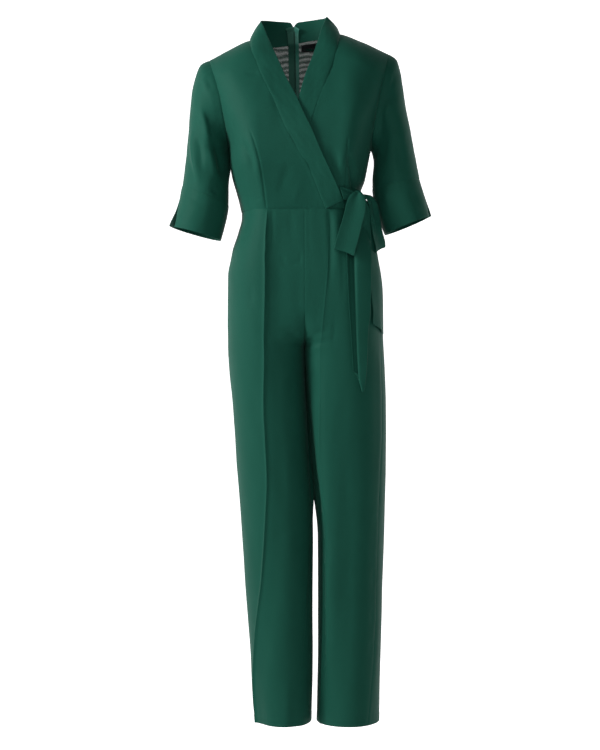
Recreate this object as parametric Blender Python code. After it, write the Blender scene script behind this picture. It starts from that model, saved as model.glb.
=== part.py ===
"""Wrap-front jumpsuit with elbow sleeves and full-length legs, worn shape,
no wearer.  Every cloth piece is a thin wall on the garment's own form.

Frame: +Z up, the front faces -Y, the wearer's left is +X.  The origin is
midway between the two neck ends of the shoulder seams.  Tables are in
millimetres; meshes are written in metres.
"""
import math

import bmesh
import bpy
import numpy as np

# ------------------------------------------------------------------ sizes
MM = 0.001
WALL = 1.4          # cloth wall
TIE_WALL = 2.0      # the tie is a flattened tube, two cloths thick
SEAM = 0.16         # each panel stops this far short of its seam line
ROUND = 62.0        # how far down the cloth rounds over the shoulder
SQUARE = 2.1        # superellipse power of the torso sections
UNDER = 4.6         # how far the under front lies inside the over front
WAIST_Z = -367.0
UNDERARM_Z = -234.0
CROTCH_Z = -648.0
HEM_Z = -1433.0
CENTRE_X = 10.0     # middle of the hips


class Table:
    """Rows of named columns; every column is a smooth curve over the first."""

    def __init__(self, names, rows):
        names = names.split()
        data = np.array(rows, float)
        data = data[np.argsort(data[:, 0])]
        self.key = data[:, 0]
        self.col = {n: data[:, i] for i, n in enumerate(names)}
        self.slope = {n: self._slopes(c) for n, c in self.col.items()}

    def _slopes(self, c):
        h = np.diff(self.key)
        d = np.diff(c) / h
        m = np.zeros(len(c))
        if len(c) == 2:
            return np.full(2, d[0])
        for i in range(1, len(c) - 1):
            if d[i - 1] * d[i] > 0:
                w1, w2 = 2 * h[i] + h[i - 1], h[i] + 2 * h[i - 1]
                m[i] = (w1 + w2) / (w1 / d[i - 1] + w2 / d[i])
        m[0], m[-1] = d[0], d[-1]
        return m

    def __call__(self, name, k):
        k = np.clip(np.asarray(k, float), self.key[0], self.key[-1])
        i = np.clip(np.searchsorted(self.key, k) - 1, 0, len(self.key) - 2)
        h = self.key[i + 1] - self.key[i]
        t = (k - self.key[i]) / h
        c, m = self.col[name], self.slope[name]
        return ((2 * t**3 - 3 * t**2 + 1) * c[i] + (t**3 - 2 * t**2 + t) * h * m[i]
                + (3 * t**2 - 2 * t**3) * c[i + 1] + (t**3 - t**2) * h * m[i + 1])


def smooth(t):
    t = np.clip(t, 0.0, 1.0)
    return t * t * (3 - 2 * t)


# ------------------------------------------------------------- torso form
# half widths to the wearer's right and left, depth of the front and back
# from the side seams, and the half width of the flatter middle
TORSO = Table("z right left front back flat", [
    (-372, 121.5, 121.5, 98, 88, 62),
    (-340, 129, 124, 106, 90, 65),
    (-319, 135, 128, 112, 92, 68),
    (-298, 141, 134, 119, 94, 72),
    (-270, 146, 140, 128, 97, 78),
    (-234, 148, 147.5, 132, 100, 82),
    (-180, 166, 164, 126, 103, 84),
    (-120, 187, 184, 109, 103, 84),
    (-60, 205, 202, 86, 93, 80),
    (0, 216, 212, 68, 79, 76),
    (40, 222, 218, 60, 71, 72)])

# top line of the shoulders, right to left
SHOULDER = Table("x z", [
    (-205, -56), (-191, -48), (-150, -27), (-105, -6), (-88, -3), (-66, 3),
    (-42, 12), (-14, 20), (18, 20), (50, 15), (70, 10), (84, 8), (130, -9),
    (187, -35), (202, -43)])

ARMHOLE_RIGHT = Table("f x_front x_back z", [
    (0.0, -148, -148, -234), (0.12, -150, -152, -220), (0.35, -158, -164, -176),
    (0.6, -168, -176, -124), (0.82, -181, -186, -80), (1.0, -191, -191, -48)])
ARMHOLE_LEFT = Table("f x_front x_back z", [
    (0.0, 147.5, 147.5, -234), (0.12, 149, 151, -218), (0.35, 157, 163, -170),
    (0.6, 168, 175, -115), (0.82, 179, 184, -66), (1.0, 187, 187, -35)])

# seam between front and collar band, and the band's free edge
SEAM_RIGHT = Table("z x", [
    (-367, 53), (-281, 16), (-237, -12), (-195, -33), (-145, -53), (-106, -72),
    (-62, -91), (-32, -101), (-6, -105)])
SEAM_LEFT = Table("z x", [
    (-367, -52), (-290, -22), (-236, 2), (-197, 20), (-176, 26.5), (-140, 39),
    (-88, 59.5), (-42, 74.5), (8, 84)])
NECK_BACK_RIGHT = Table("x z", [(-105, -6), (-92, -9), (-70, -11), (-42, -8), (-13.7, -3)])
NECK_BACK_LEFT = Table("x z", [(-13.7, -3), (18, 3), (50, 6), (72, 8), (84, 8)])

CENTRE_BACK = Table("z x", [(-700, 9), (-560, 9), (-460, 6), (-367, 1), (-250, -6), (-150, -8.6), (-8, -11), (45, -13.7)])


def torso_y(x, z, side):
    """Depth of the torso's cloth at x, z; side is -1 for front, +1 for back."""
    x, z = np.asarray(x, float), np.asarray(z, float)
    half = np.where(x < 0, TORSO("right", z), TORSO("left", z))
    flat = TORSO("flat", z)
    depth = TORSO("front" if side < 0 else "back", z)
    q = np.clip((np.abs(x) - flat) / (half - flat), 0, 1)
    body = depth * (1 - q**SQUARE) ** (1 / SQUARE)
    t = np.clip((SHOULDER("z", x) - z) / ROUND, 0, 1)
    return side * body * np.sqrt(1 - (1 - t) ** 2) + 5 * (1 - t) ** 2


def armhole(table, f, side):
    x = table("x_front" if side < 0 else "x_back", f)
    z = table("z", f)
    return np.stack([x, torso_y(x, z, side), z], -1)


# --------------------------------------------------------- trousers form
# where each leg's section is widest outward, foremost, innermost, rearmost;
# turn is how far the leg's seams are turned from straight ahead (degrees)
LEG_RIGHT = Table("z side foremost rearmost front back in_front in_back side_seam inseam", [
    (-367, -121.5, -62, -55, 98, 88, 98, 88, -88, 90),
    (-382, -122, -63, -56, 98.5, 89, 98.5, 89, -86, 90),
    (-403, -127, -65, -58, 100, 92, 100, 92, -84, 90),
    (-425, -134, -67, -60, 103, 97, 103, 97, -82, 90),
    (-445, -141, -68, -62, 105, 102, 105, 102, -81, 90),
    (-466, -145, -70, -65, 107, 108, 107, 108, -80, 90),
    (-498, -151, -70, -68, 109, 116, 109, 116, -79, 90),
    (-560, -151.5, -70, -70, 109, 122, 109, 122, -79, 90),
    (-600, -151.5, -70, -70, 107, 120, 98, 102, -80, 90),
    (-628, -151, -70, -70, 105, 114, 72, 70, -82, 90),
    (-648, -151, -69, -70, 104, 108, 0, 8, -84, 90),
    (-700, -148, -66, -68, 100, 99, -4, 4, -90, 89),
    (-760, -142, -63, -66, 96, 93, -5, 5, -94, 87),
    (-830, -136.5, -59, -60, 91, 89, -5, 5, -98, 84),
    (-900, -132, -55, -56, 87, 86, -5, 5, -101, 80),
    (-970, -126.5, -50, -51, 83, 84, -5, 5, -105, 75),
    (-1050, -121, -46, -47, 80, 82, -5, 5, -110, 69),
    (-1130, -115.5, -43, -44, 79, 82, -5, 5, -117, 62),
    (-1210, -110, -40, -41, 78, 82, -5, 5, -127, 52),
    (-1290, -103.5, -37, -38, 77, 81, -5, 5, -138, 41),
    (-1370, -98.7, -35, -36, 77, 80, -5, 5, -148, 30),
    (-1433, -91.5, -33, -34, 76, 80, -5, 5, -154, 24)])
LEG_LEFT = Table("z side foremost rearmost front back in_front in_back side_seam inseam", [
    (-367, 121.5, 62, 55, 98, 88, 98, 88, 88, -90),
    (-382, 122.5, 64, 57, 98.5, 89, 98.5, 89, 86, -90),
    (-403, 130, 67, 60, 100, 92, 100, 92, 84, -90),
    (-425, 141, 70, 64, 103, 97, 103, 97, 82, -90),
    (-445, 150, 73, 68, 105, 102, 105, 102, 80, -90),
    (-466, 158, 76, 72, 107, 108, 107, 108, 78, -90),
    (-498, 166, 80, 78, 109, 116, 109, 116, 75, -90),
    (-560, 171.5, 84, 84, 109, 122, 109, 122, 71, -90),
    (-600, 173, 86, 86, 107, 120, 98, 102, 69, -90),
    (-628, 174, 87, 87, 105, 114, 72, 70, 67, -90),
    (-648, 175, 88, 88, 104, 108, 0, 8, 66, -90),
    (-700, 178, 92, 92, 101, 99, -4, 4, 63, -97),
    (-760, 180.5, 97, 97, 97, 93, -5, 5, 61, -106),
    (-830, 181, 99, 99, 92, 89, -5, 5, 60, -114),
    (-900, 180.5, 101, 101, 87, 86, -5, 5, 56, -120),
    (-970, 178.5, 105, 105, 83, 84, -5, 5, 53, -124),
    (-1050, 176, 107, 107, 80, 82, -5, 5, 52, -126),
    (-1130, 173.7, 106, 106, 79, 82, -5, 5, 51, -128),
    (-1210, 172, 105, 105, 78, 82, -5, 5, 51, -129),
    (-1290, 169, 103, 103, 77, 81, -5, 5, 49, -131),
    (-1370, 166.5, 101.5, 101.5, 77, 80, -5, 5, 43, -136),
    (-1433, 165.5, 100, 100, 76, 80, -5, 5, 37, -142)])
# pressed crease, running up into a pleat at the waist: where it lies round
# the leg (degrees from straight ahead) and how far it stands out
CREASE_RIGHT = Table("z turn proud", [
    (-1433, -72, 3), (-1370, -66, 3), (-1254, -48, 3), (-1128, -28, 3), (-983, -15, 3),
    (-900, -9.5, 3.5), (-800, -9, 4), (-648, -3, 4), (-500, -1, 4.5), (-367, -5, 2)])
CREASE_LEFT = Table("z turn proud", [
    (-1433, -62, 2.5), (-1254, -56, 2.5), (-983, -54, 2.5), (-800, -45, 2.5),
    (-648, -36, 2.5), (-500, -20, 3), (-367, -4, 2)])
INNER = Table("z right left", [
    (-1433, 25, 35), (-1250, 27, 37.5), (-1050, 27, 37.5), (-983, 26, 32.5),
    (-900, 20, 24.5), (-800, 14.5, 18.5), (-700, 9.6, 13.4), (-655, 8.9, 11.1),
    (-648, 9.0, 11.0), (-628, 9.0, 11.0), (-600, 9.0, 11.0), (-575, 9.0, 11.0),
    (-562, 9.8, 10.2), (-556, 10, 10), (-540, 10, 10), (-367, 9, 9)])


def leg_point(table, turn, z):
    """Point on a leg at height z.  turn is degrees from straight ahead,
    positive towards the wearer's left; above the crotch each leg's section
    is one half of the hips, open along the middle."""
    turn, z = np.broadcast_arrays(np.asarray(turn, float), np.asarray(z, float))
    left = table is LEG_LEFT
    inner = INNER("left" if left else "right", z)
    out = turn if left else -turn                 # +90 is outward, -90 inward
    out = (out + 180) % 360 - 180
    is_front = np.abs(out) <= 90.0005
    outward = out >= 0
    mid = np.where(is_front, table("foremost", z), table("rearmost", z))
    depth = np.where(is_front, -table("front", z), table("back", z))
    a = np.radians(np.where(is_front, np.abs(out), 180 - np.abs(out)))
    edge = np.where(outward, table("side", z), inner)
    side_y = 5 * smooth((-z - 600) / 60)
    end_y = np.where(outward, side_y,
                     np.where(is_front, -table("in_front", z), table("in_back", z)))
    x = mid + (edge - mid) * np.sin(a)
    y = end_y + (depth - end_y) * np.cos(a)
    return np.stack([x, y, z], -1)


# ------------------------------------------------------------ sleeve form
# outer and inner ends of each section as seen from the front, its half
# depth and how far forward its middle is
SLEEVE_RIGHT = Table("n ox oz ix iz deep fore own", [
    (0, -191, -48, -148, -235, 58, 0, 0.0),
    (1, -209, -60, -151.5, -243, 60, 0, 0.35),
    (2, -219, -82, -153.5, -252, 62, 0, 0.7),
    (3, -226, -114, -154.5, -265, 64, 1, 0.93),
    (4, -230.5, -156, -154, -282, 65, 2, 1.0),
    (5, -235.5, -212, -152, -304, 65, 4, 1.0),
    (6, -240, -264, -150, -328, 64, 6, 1.0),
    (7, -246, -313, -150, -352, 63, 8, 1.0),
    (8, -254, -345, -153.5, -379, 63, 10, 1.0),
    (9, -262, -372, -159.5, -403, 63, 12, 1.0),
    (10, -270.5, -397, -166, -426, 63, 14, 1.0)])
SLEEVE_LEFT = Table("n ox oz ix iz deep fore own", [
    (0, 187, -35, 147.5, -235, 58, 0, 0.0),
    (1, 203, -50, 151, -242, 60, 0, 0.35),
    (2, 210, -72, 153.5, -250, 62, 0, 0.7),
    (3, 215, -102, 155, -260, 64, 1, 0.93),
    (4, 221.5, -146, 154.5, -272, 65, 2, 1.0),
    (5, 232, -198, 153, -287, 65, 4, 1.0),
    (6, 241, -250, 152, -302, 64, 6, 1.0),
    (7, 250, -300, 152, -318, 63, 8, 1.0),
    (8, 257.5, -326, 155.5, -347, 63, 10, 1.0),
    (9, 264.5, -351, 165, -379, 63, 12, 1.0),
    (10, 270.5, -376, 178, -414, 63, 14, 1.0)])


def sleeve_point(table, turn, n):
    """Point on a sleeve: n counts sections from the armhole (0) to the hem
    (10); turn is degrees, 0 at the underarm, 90 in front, 180 outermost."""
    turn, n = np.broadcast_arrays(np.asarray(turn, float), np.asarray(n, float))
    a = np.radians(turn)
    hole = ARMHOLE_LEFT if table is SLEEVE_LEFT else ARMHOLE_RIGHT

    def section(k):
        ox, oz, ix, iz = (table(c, k) for c in ("ox", "oz", "ix", "iz"))
        u = (1 - np.cos(a)) / 2
        return np.stack([ix + (ox - ix) * u,
                         -table("fore", k) - table("deep", k) * np.sin(a),
                         iz + (oz - iz) * u], -1)

    f = (1 - np.cos(a)) / 2
    cut = np.where((np.sin(a) >= 0)[..., None], armhole(hole, f, -1), armhole(hole, f, 1))
    return section(n) + (cut - section(0 * n)) * (1 - table("own", n))[..., None]


# ----------------------------------------------------------- mesh helpers
def grid_faces(rows, cols, closed=False):
    faces = []
    for r in range(rows - 1):
        for c in range(cols if closed else cols - 1):
            d = (c + 1) % cols
            faces.append((r * cols + c, r * cols + d, (r + 1) * cols + d, (r + 1) * cols + c))
    return faces


def pull_in(p, amount, closed=False, ends=True):
    """Draw a grid's rim in along the cloth by amount (mm)."""
    p = p.copy()

    def draw(a, b):
        d = b - a
        return a + d / np.maximum(np.linalg.norm(d, axis=-1, keepdims=True), 1e-9) * amount
    if ends:
        p[0], p[-1] = draw(p[0], p[1]), draw(p[-1], p[-2])
    if not closed:
        p[:, 0], p[:, -1] = draw(p[:, 0], p[:, 1]), draw(p[:, -1], p[:, -2])
    return p


def wall_mesh(name, verts, faces, wall, material):
    """Give a sheet of quads an even wall and close its rim."""
    verts = np.asarray(verts, float)
    quads = np.asarray(faces)
    normal = np.zeros_like(verts)
    diag1 = verts[quads[:, 2]] - verts[quads[:, 0]]
    diag2 = verts[quads[:, 3]] - verts[quads[:, 1]]
    face_n = np.cross(diag1, diag2)
    for k in range(4):
        np.add.at(normal, quads[:, k], face_n)
    normal /= np.maximum(np.linalg.norm(normal, axis=1, keepdims=True), 1e-12)
    n = len(verts)
    pts = np.concatenate([verts + normal * wall / 2, verts - normal * wall / 2]) * MM
    out = [tuple(q) for q in faces] + [tuple(i + n for i in reversed(q)) for q in faces]
    used = {}
    for q in faces:
        for i in range(len(q)):
            a, b = q[i], q[(i + 1) % len(q)]
            used[(a, b)] = True
    for (a, b) in list(used):
        if (b, a) not in used:
            out.append((b, a, a + n, b + n))
    return make_object(name, pts, out, material)


def make_object(name, pts, faces, material):
    mesh = bpy.data.meshes.new(name)
    mesh.from_pydata([tuple(p) for p in pts], [], [tuple(int(i) for i in f) for f in faces])
    mesh.validate()
    bm = bmesh.new()
    bm.from_mesh(mesh)
    bmesh.ops.triangulate(bm, faces=bm.faces[:])
    if bm.calc_volume(signed=True) < 0:
        bmesh.ops.reverse_faces(bm, faces=bm.faces[:])
    bm.to_mesh(mesh)
    bm.free()
    mesh.materials.append(material)
    obj = bpy.data.objects.new(name, mesh)
    bpy.context.scene.collection.objects.link(obj)
    return obj


def sheet(name, p, wall, material, closed=False, inset=SEAM, ends=True):
    p = pull_in(p, inset, closed, ends) if inset else p
    rows, cols = p.shape[:2]
    return wall_mesh(name, p.reshape(-1, 3), grid_faces(rows, cols, closed), wall, material)


def cloth_material(name, colour, roughness, metallic=0.0):
    m = bpy.data.materials.new(name)
    m.use_nodes = True
    shader = m.node_tree.nodes["Principled BSDF"]
    shader.inputs["Base Color"].default_value = (*colour, 1)
    shader.inputs["Roughness"].default_value = roughness
    shader.inputs["Metallic"].default_value = metallic
    return m


# ---------------------------------------------------------------- bodice
# share of the way up each panel where its rows lie; closer over the shoulder
BODICE_ROWS = [0, .09, .2, .32, .42, .52, .62, .72, .81, .885, .94, .98, 1]


def outer_edge(side_x, hole, v, side):
    """Side seam up to the underarm, then the armhole, for share v."""
    v = np.asarray(v, float)
    turn = 0.40
    z_low = WAIST_Z + (UNDERARM_Z - WAIST_Z) * np.clip(v / turn, 0, 1)
    f = np.clip((v - turn) / (1 - turn), 0, 1)
    x_hole = hole("x_front" if side < 0 else "x_back", f)
    sign = 1 if hole is ARMHOLE_LEFT else -1
    x = np.where(v < turn, sign * TORSO(side_x, z_low), x_hole)
    z = np.where(v < turn, z_low, hole("z", f))
    return x, z


FRONT_SHARE = [0, .02, .0625, .125, .2125, .32, .45, .58, .725, .86, 1]


def front_panel(left, rows=BODICE_ROWS):
    seam = SEAM_LEFT if left else SEAM_RIGHT
    hole = ARMHOLE_LEFT if left else ARMHOLE_RIGHT
    v = np.array(rows)[:, None]
    ox, oz = outer_edge("left" if left else "right", hole, v, -1)
    iz = WAIST_Z + (seam.key[-1] - WAIST_Z) * v
    ix = seam("x", iz)
    q = np.array(FRONT_SHARE)[None, :]
    x, z = ox + (ix - ox) * q, oz + (iz - oz) * q
    straight = oz[-1] + (iz[-1] - oz[-1]) * q
    z = z + (SHOULDER("z", x) - straight) * v**6 * (v > .8)
    y = torso_y(x, z, -1)
    if left:
        y = y + under(x)
    return np.stack([x, y, z], -1)


def under(x):
    return UNDER * (1 - smooth((np.asarray(x, float) - 60) / 60))


def back_panel(left, rows=BODICE_ROWS):
    hole = ARMHOLE_LEFT if left else ARMHOLE_RIGHT
    neck = NECK_BACK_LEFT if left else NECK_BACK_RIGHT
    v = np.array(rows)[:, None]
    q = back_shares(left)[None, :]
    ox, oz = outer_edge("left" if left else "right", hole, v, 1)
    iz = WAIST_Z + (-3 - WAIST_Z) * v
    ix = CENTRE_BACK("x", iz) + 0 * iz
    x = ox + (ix - ox) * q
    z_line = oz + (iz - oz) * q
    neck_x, neck_z = (84, 8) if left else (-105, -6)
    # the top row follows the shoulder seam, then the back of the neck
    top = np.where(np.abs(x) > abs(neck_x), SHOULDER("z", x), neck("z", x))
    straight = hole("z", 1.0) + (-3 - hole("z", 1.0)) * q
    z = z_line + (top - straight) * v**3
    return np.stack([x, torso_y(x, z, 1), z], -1)


# ---------------------------------------------------------------- collar
# the free edge of each band from the wrap up to the shoulder, against the
# height of the seam beside it: x, z, and how far it stands off the front
EDGE_RIGHT = [
    ("z_seam", "x", "z", "off"),
    (-367, 87.5, -350, -5), (-330, 77, -324, -4), (-296, 62, -292, -3.5), (-262, 46, -260, -3),
    (-220, 27.5, -216, -3), (-181, 8, -175, -2), (-131, -15, -123, 2),
    (-95, -34.7, -85.5, 2), (-62, -50, -47, 1), (-36, -64, -15, 0), (-18, -73, 10, -41), (-6, -82, 34, -10)]
EDGE_LEFT = [
    ("z_seam", "x", "z", "off"),
    (-367, -86, -360, 6.5), (-320, -72, -312, 6.5), (-262, -47, -260, 6.5), (-220, -28, -216, 6.5),
    (-181, -12, -177, 6), (-148, -2, -142, 5), (-115, 6, -107, 4), (-70, 22.5, -62, 4),
    (-38, 37, -17, 2), (-8, 48, 22, -35), (8, 56.6, 43.5, -8)]
# then round the back of the neck, against the seam's x: x, y, z
ROUND_RIGHT = [
    ("x_seam", "x", "y", "z"),
    (-105, -82, -5, 34), (-92, -79, 22, 40), (-70, -62, 43, 43), (-42, -38, 56, 43.5), (-11, -13.9, 60, 42)]
ROUND_LEFT = [
    ("x_seam", "x", "y", "z"),
    (-11, -13.5, 60, 42), (18, 15, 56, 45), (50, 42, 44, 47), (72, 55, 25, 47), (84, 56.6, -3, 43.5)]
SHOULDER_SHARE = [0, .025, .085, .18, .29, .4]     # columns from armhole to neck
NECK_SHARE = [0, .15, .36, .58, .8, 1]             # columns round the neck


def back_shares(left):
    tip, neck, mid = (187, 84, -11) if left else (-191, -105, -11)
    k = (neck - tip) / (mid - tip)
    return np.array([k * a / .5 for a in SHOULDER_SHARE] + [k + (1 - k) * a for a in NECK_SHARE])


def collar_rails(left):
    seam = SEAM_LEFT if left else SEAM_RIGHT
    edge = [(r[0], r[1], float(torso_y(r[1], r[2], -1)) + r[3], r[2])
            for r in (EDGE_LEFT if left else EDGE_RIGHT)[1:]]
    edge = Table("z_seam x y z", edge)
    turn = Table("x_seam x y z", (ROUND_LEFT if left else ROUND_RIGHT)[1:])
    neck = NECK_BACK_LEFT if left else NECK_BACK_RIGHT
    a, b = [], []
    for z in WAIST_Z + (seam.key[-1] - WAIST_Z) * np.array(BODICE_ROWS):
        ax = float(seam("x", z))
        a.append((ax, float(torso_y(ax, z, -1)) + (float(under(ax)) if left else 0.0), z))
        b.append([float(edge(c, z)) for c in "xyz"])
    tip, first = (187, 84) if left else (-191, -105)
    for q in back_shares(left)[7:]:
        ax = tip + (-11 - tip) * q
        z = float(neck("z", ax))
        a.append((ax, float(torso_y(ax, z, 1)), z))
        b.append([float(turn(c, ax)) for c in "xyz"])
    return np.array(a), np.array(b)


def collar_band(left, across=4):
    a, b = collar_rails(left)
    d = b - a
    along = np.gradient(a, axis=0)
    n = np.cross(along, d)
    n /= np.linalg.norm(n, axis=1, keepdims=True)
    n *= np.where((n * (a - np.array([-10, 0, 0])) * [1, 1, 0]).sum(1) < 0, -1, 1)[:, None]
    s = np.linspace(0, 1, across)
    bulge = 3.0 * smooth(np.linalg.norm(a - a[-1], axis=1) / 60)[:, None, None]
    return (a[:, None] + d[:, None] * s[None, :, None]
            + n[:, None] * bulge * (4 * s * (1 - s))[None, :, None])


# ------------------------------------------------------------------- tie
TIE_LEAD = [
    ("x", "y", "z", "half", "lean"),
    (85.2, -109, -335.8, 13.5, 0.35), (90, -107, -336, 13, 0.25), (98, -102, -337, 10.5, 0.1), (108.6, -95, -338, 7.5, 0.0)]
TIE_LOOP_FRONT = [
    ("x", "y", "z", "half", "lean"),
    (118, -104.2, -337, 8.5, -0.1), (116, -108, -350, 14, -0.15), (113, -112, -370, 18.5, -0.22),
    (107.5, -117, -392, 20, -0.27), (97, -123, -430, 21, -0.3), (91, -127, -452, 21, -0.32),
    (90, -125, -458.5, 20.5, -0.32), (90.5, -119.5, -457, 20, -0.32), (96, -115, -436, 19.5, -0.3),
    (102, -109, -412, 19, -0.27), (108.5, -100, -385, 15, -0.25), (115.5, -86, -357, 6, -0.2)]
# the side loop is turned half away
TIE_LOOP_SIDE = [
    ("x", "y", "z", "half", "lean"),
    (131.6, -87, -338, 5.5, 0.3), (141, -80, -341, 11, 0.3), (149, -71, -351, 14, 0.25), (153.5, -64, -368, 16, 0.25),
    (156.5, -61, -393, 17, 0.25), (161, -59, -418, 17.5, 0.35), (166.5, -57, -440, 18, 0.4),
    (167, -55, -449, 18, 0.4), (162, -54.5, -446, 17.5, 0.4), (155.5, -56, -420, 17, 0.35),
    (150.5, -58, -394, 16, 0.25), (146.5, -64, -370, 14, 0.25), (139.5, -74, -357, 9, 0.3), (131, -83, -349, 5, 0.3)]
TAIL_FRONT = [      # turn round the leg of its back edge, fold and front edge
    ("z", "back_edge", "fold", "front_edge", "off"),
    (-366, 47, 52, 60, 9), (-400, 33, 39, 50, 9), (-455, 22, 31, 46, 6.5), (-520, 17, 27, 43, 5.2),
    (-590, 15, 25, 41, 5.2), (-655, 15, 25, 40, 5.2), (-700, 17, 24.5, 37, 5.2), (-738, 21.5, 25, 31, 5.2)]
TAIL_SIDE = [
    ("z", "front_edge", "middle", "back_edge", "off"),
    (-440, 52, 62, 72, 4.2), (-480, 47, 61, 76, 4), (-540, 45, 60, 77, 4), (-585, 45, 60, 77, 4),
    (-618, 46, 60, 76, 4)]


def ribbon(rows, lie="level"):
    """Strip along a line of sections: half is half its width, which runs
    level, upright or turned half away, tipped by lean."""
    out = []
    for x, y, z, half, lean in rows[1:]:
        w = np.array({"level": (1.0, 0.0, lean), "upright": (-lean, 0.0, 1.0),
                      "turned": (0.6, 0.8, lean)}[lie])
        w /= np.linalg.norm(w)
        c = np.array([x, y, z], float)
        out.append([c - w * half, c, c + w * half])
    return np.array(out)


def on_leg(table, turns, z, off):
    """Points of a leg moved straight out of the cloth by off."""
    p = leg_point(table, turns, z)
    across = leg_point(table, np.asarray(turns) + 2, z) - leg_point(table, np.asarray(turns) - 2, z)
    n = np.stack([-across[..., 1], across[..., 0], 0 * across[..., 0]], -1)
    n /= np.linalg.norm(n, axis=-1, keepdims=True)
    out = p - np.array([90.0 if table is LEG_LEFT else -60.0, 0, 0])
    n *= np.where((n[..., :2] * out[..., :2]).sum(-1) < 0, -1, 1)[..., None]
    return p + n * np.asarray(off)[..., None]


def tail(rows):
    out = []
    for z, a, b, c, off in rows[1:]:
        t = np.array([a, b, c], float)
        out.append(on_leg(LEG_LEFT, t, np.full(3, float(z)), np.full(3, float(off))))
    return np.array(out)


# ------------------------------------------------------------------- zip
ZIP_FOOT = -545.0


def back_form(z, x):
    """Depth of the centre-back cloth: collar, bodice, then trousers."""
    if z > -3:
        return float(torso_y(x, -3.0, 1)) * (1 - (z + 3) / 45.0) + 60.0 * (z + 3) / 45.0
    if z > WAIST_Z:
        return float(torso_y(x, z, 1))
    return float(LEG_RIGHT("back", z))


def zip_tape(left):
    wide = 8.0 if left else 14.0
    sign = 1 if left else -1
    rows = []
    for z in (33, 18, -3, -14, -28, -45, -75, -120, -180, -250, -310, -350, -367, -385, -430, -490, ZIP_FOOT):
        x0 = float(CENTRE_BACK("x", z)) + sign * 0.2
        x1 = x0 + sign * wide
        inside = 2.2 + 1.8 * float(smooth((z + 25) / 20))
        rows.append([(x, back_form(z, x) - inside, z) for x in (x0, (x0 + x1) / 2, x1)])
    return np.array(rows, float)


SLIDER_Z = 27.0
SLIDER_Y = 64.6
HINGE_Z = 25.5


def block(name, low, high, material, bevel=0.0):
    low, high = np.array(low) * MM, np.array(high) * MM
    bm = bmesh.new()
    bmesh.ops.create_cube(bm, size=1.0)
    for v in bm.verts:
        for i in range(3):
            v.co[i] = (low[i] + high[i]) / 2 + v.co[i] * (high[i] - low[i])
    if bevel:
        bmesh.ops.bevel(bm, geom=bm.edges[:] + bm.verts[:], offset=bevel * MM,
                        segments=2, profile=0.5, affect='EDGES')
    bmesh.ops.triangulate(bm, faces=bm.faces[:])
    mesh = bpy.data.meshes.new(name)
    bm.to_mesh(mesh)
    bm.free()
    mesh.materials.append(material)
    obj = bpy.data.objects.new(name, mesh)
    bpy.context.scene.collection.objects.link(obj)
    return obj


def pull_tab(name, x, y, hinge_z, length, material):
    """Flat pull hanging from a rolled eye that turns on the slider's bar:
    narrow at the eye, wider towards the foot."""
    r, bore, half = 1.3, 0.85, 0.5
    outer, inner = [(half, -length), (half, -math.sqrt(r * r - half * half))], []
    start, end = math.atan2(outer[1][1], half), math.atan2(outer[1][1], -half) + 2 * math.pi
    for i in range(1, 16):
        a = start + (end - start) * i / 16
        outer.append((r * math.cos(a), r * math.sin(a)))
    outer += [(-half, outer[1][1]), (-half, -length)]
    for py, pz in outer:
        a = math.atan2(max(pz, -2.0), py)
        inner.append((bore * math.cos(a), bore * math.sin(a)))
    pts, faces, n = [], [], len(outer)
    for side in (-1, 1):
        pts += [(x + side * (1.5 - 0.07 * pz), y + py, hinge_z + pz) for py, pz in outer + inner]
    for i in range(n):
        j = (i + 1) % n
        o = 2 * n
        faces.append((i, j, n + j, n + i))
        faces.append((o + j, o + i, o + n + i, o + n + j))
        faces.append((j, i, o + i, o + j))
        faces.append((n + i, n + j, o + n + j, o + n + i))
    return make_object(name, np.array(pts) * MM, faces, material)


def add_to(obj, *others):
    """Join solids that run into each other into one."""
    for other in others:
        mod = obj.modifiers.new("join", "BOOLEAN")
        mod.operation, mod.solver, mod.object = "UNION", "EXACT", other
        shape = bpy.data.meshes.new_from_object(obj.evaluated_get(bpy.context.evaluated_depsgraph_get()))
        obj.modifiers.clear()
        obj.data = shape
        bpy.data.objects.remove(other)
    return obj


def slider(x, material):
    """Slider body with two ears and the round bar that the pull turns on."""
    face, hy = SLIDER_Y + 1.2, SLIDER_Y + 2.85
    body = block("zip_slider", (x - 2.6, SLIDER_Y - 1.4, SLIDER_Z - 4.5), (x + 2.6, face, SLIDER_Z + 4.5), material, bevel=0.5)
    ears = [block("ear", (x + a, face - 0.6, HINGE_Z - 1.2), (x + b, hy + 1.1, HINGE_Z + 1.2), material)
            for a, b in ((-2.4, -1.75), (1.75, 2.4))]
    pts = [(x + side * 2.1, hy + 0.6 * math.cos(k * math.pi / 8), HINGE_Z + 0.6 * math.sin(k * math.pi / 8))
           for side in (-1, 1) for k in range(16)]
    faces = [(k, (k + 1) % 16, 16 + (k + 1) % 16, 16 + k) for k in range(16)]
    faces += [tuple(range(15, -1, -1)), tuple(range(16, 32))]
    bar = make_object("bar", np.array(pts) * MM, faces, material)
    return add_to(body, *ears, bar)


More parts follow.
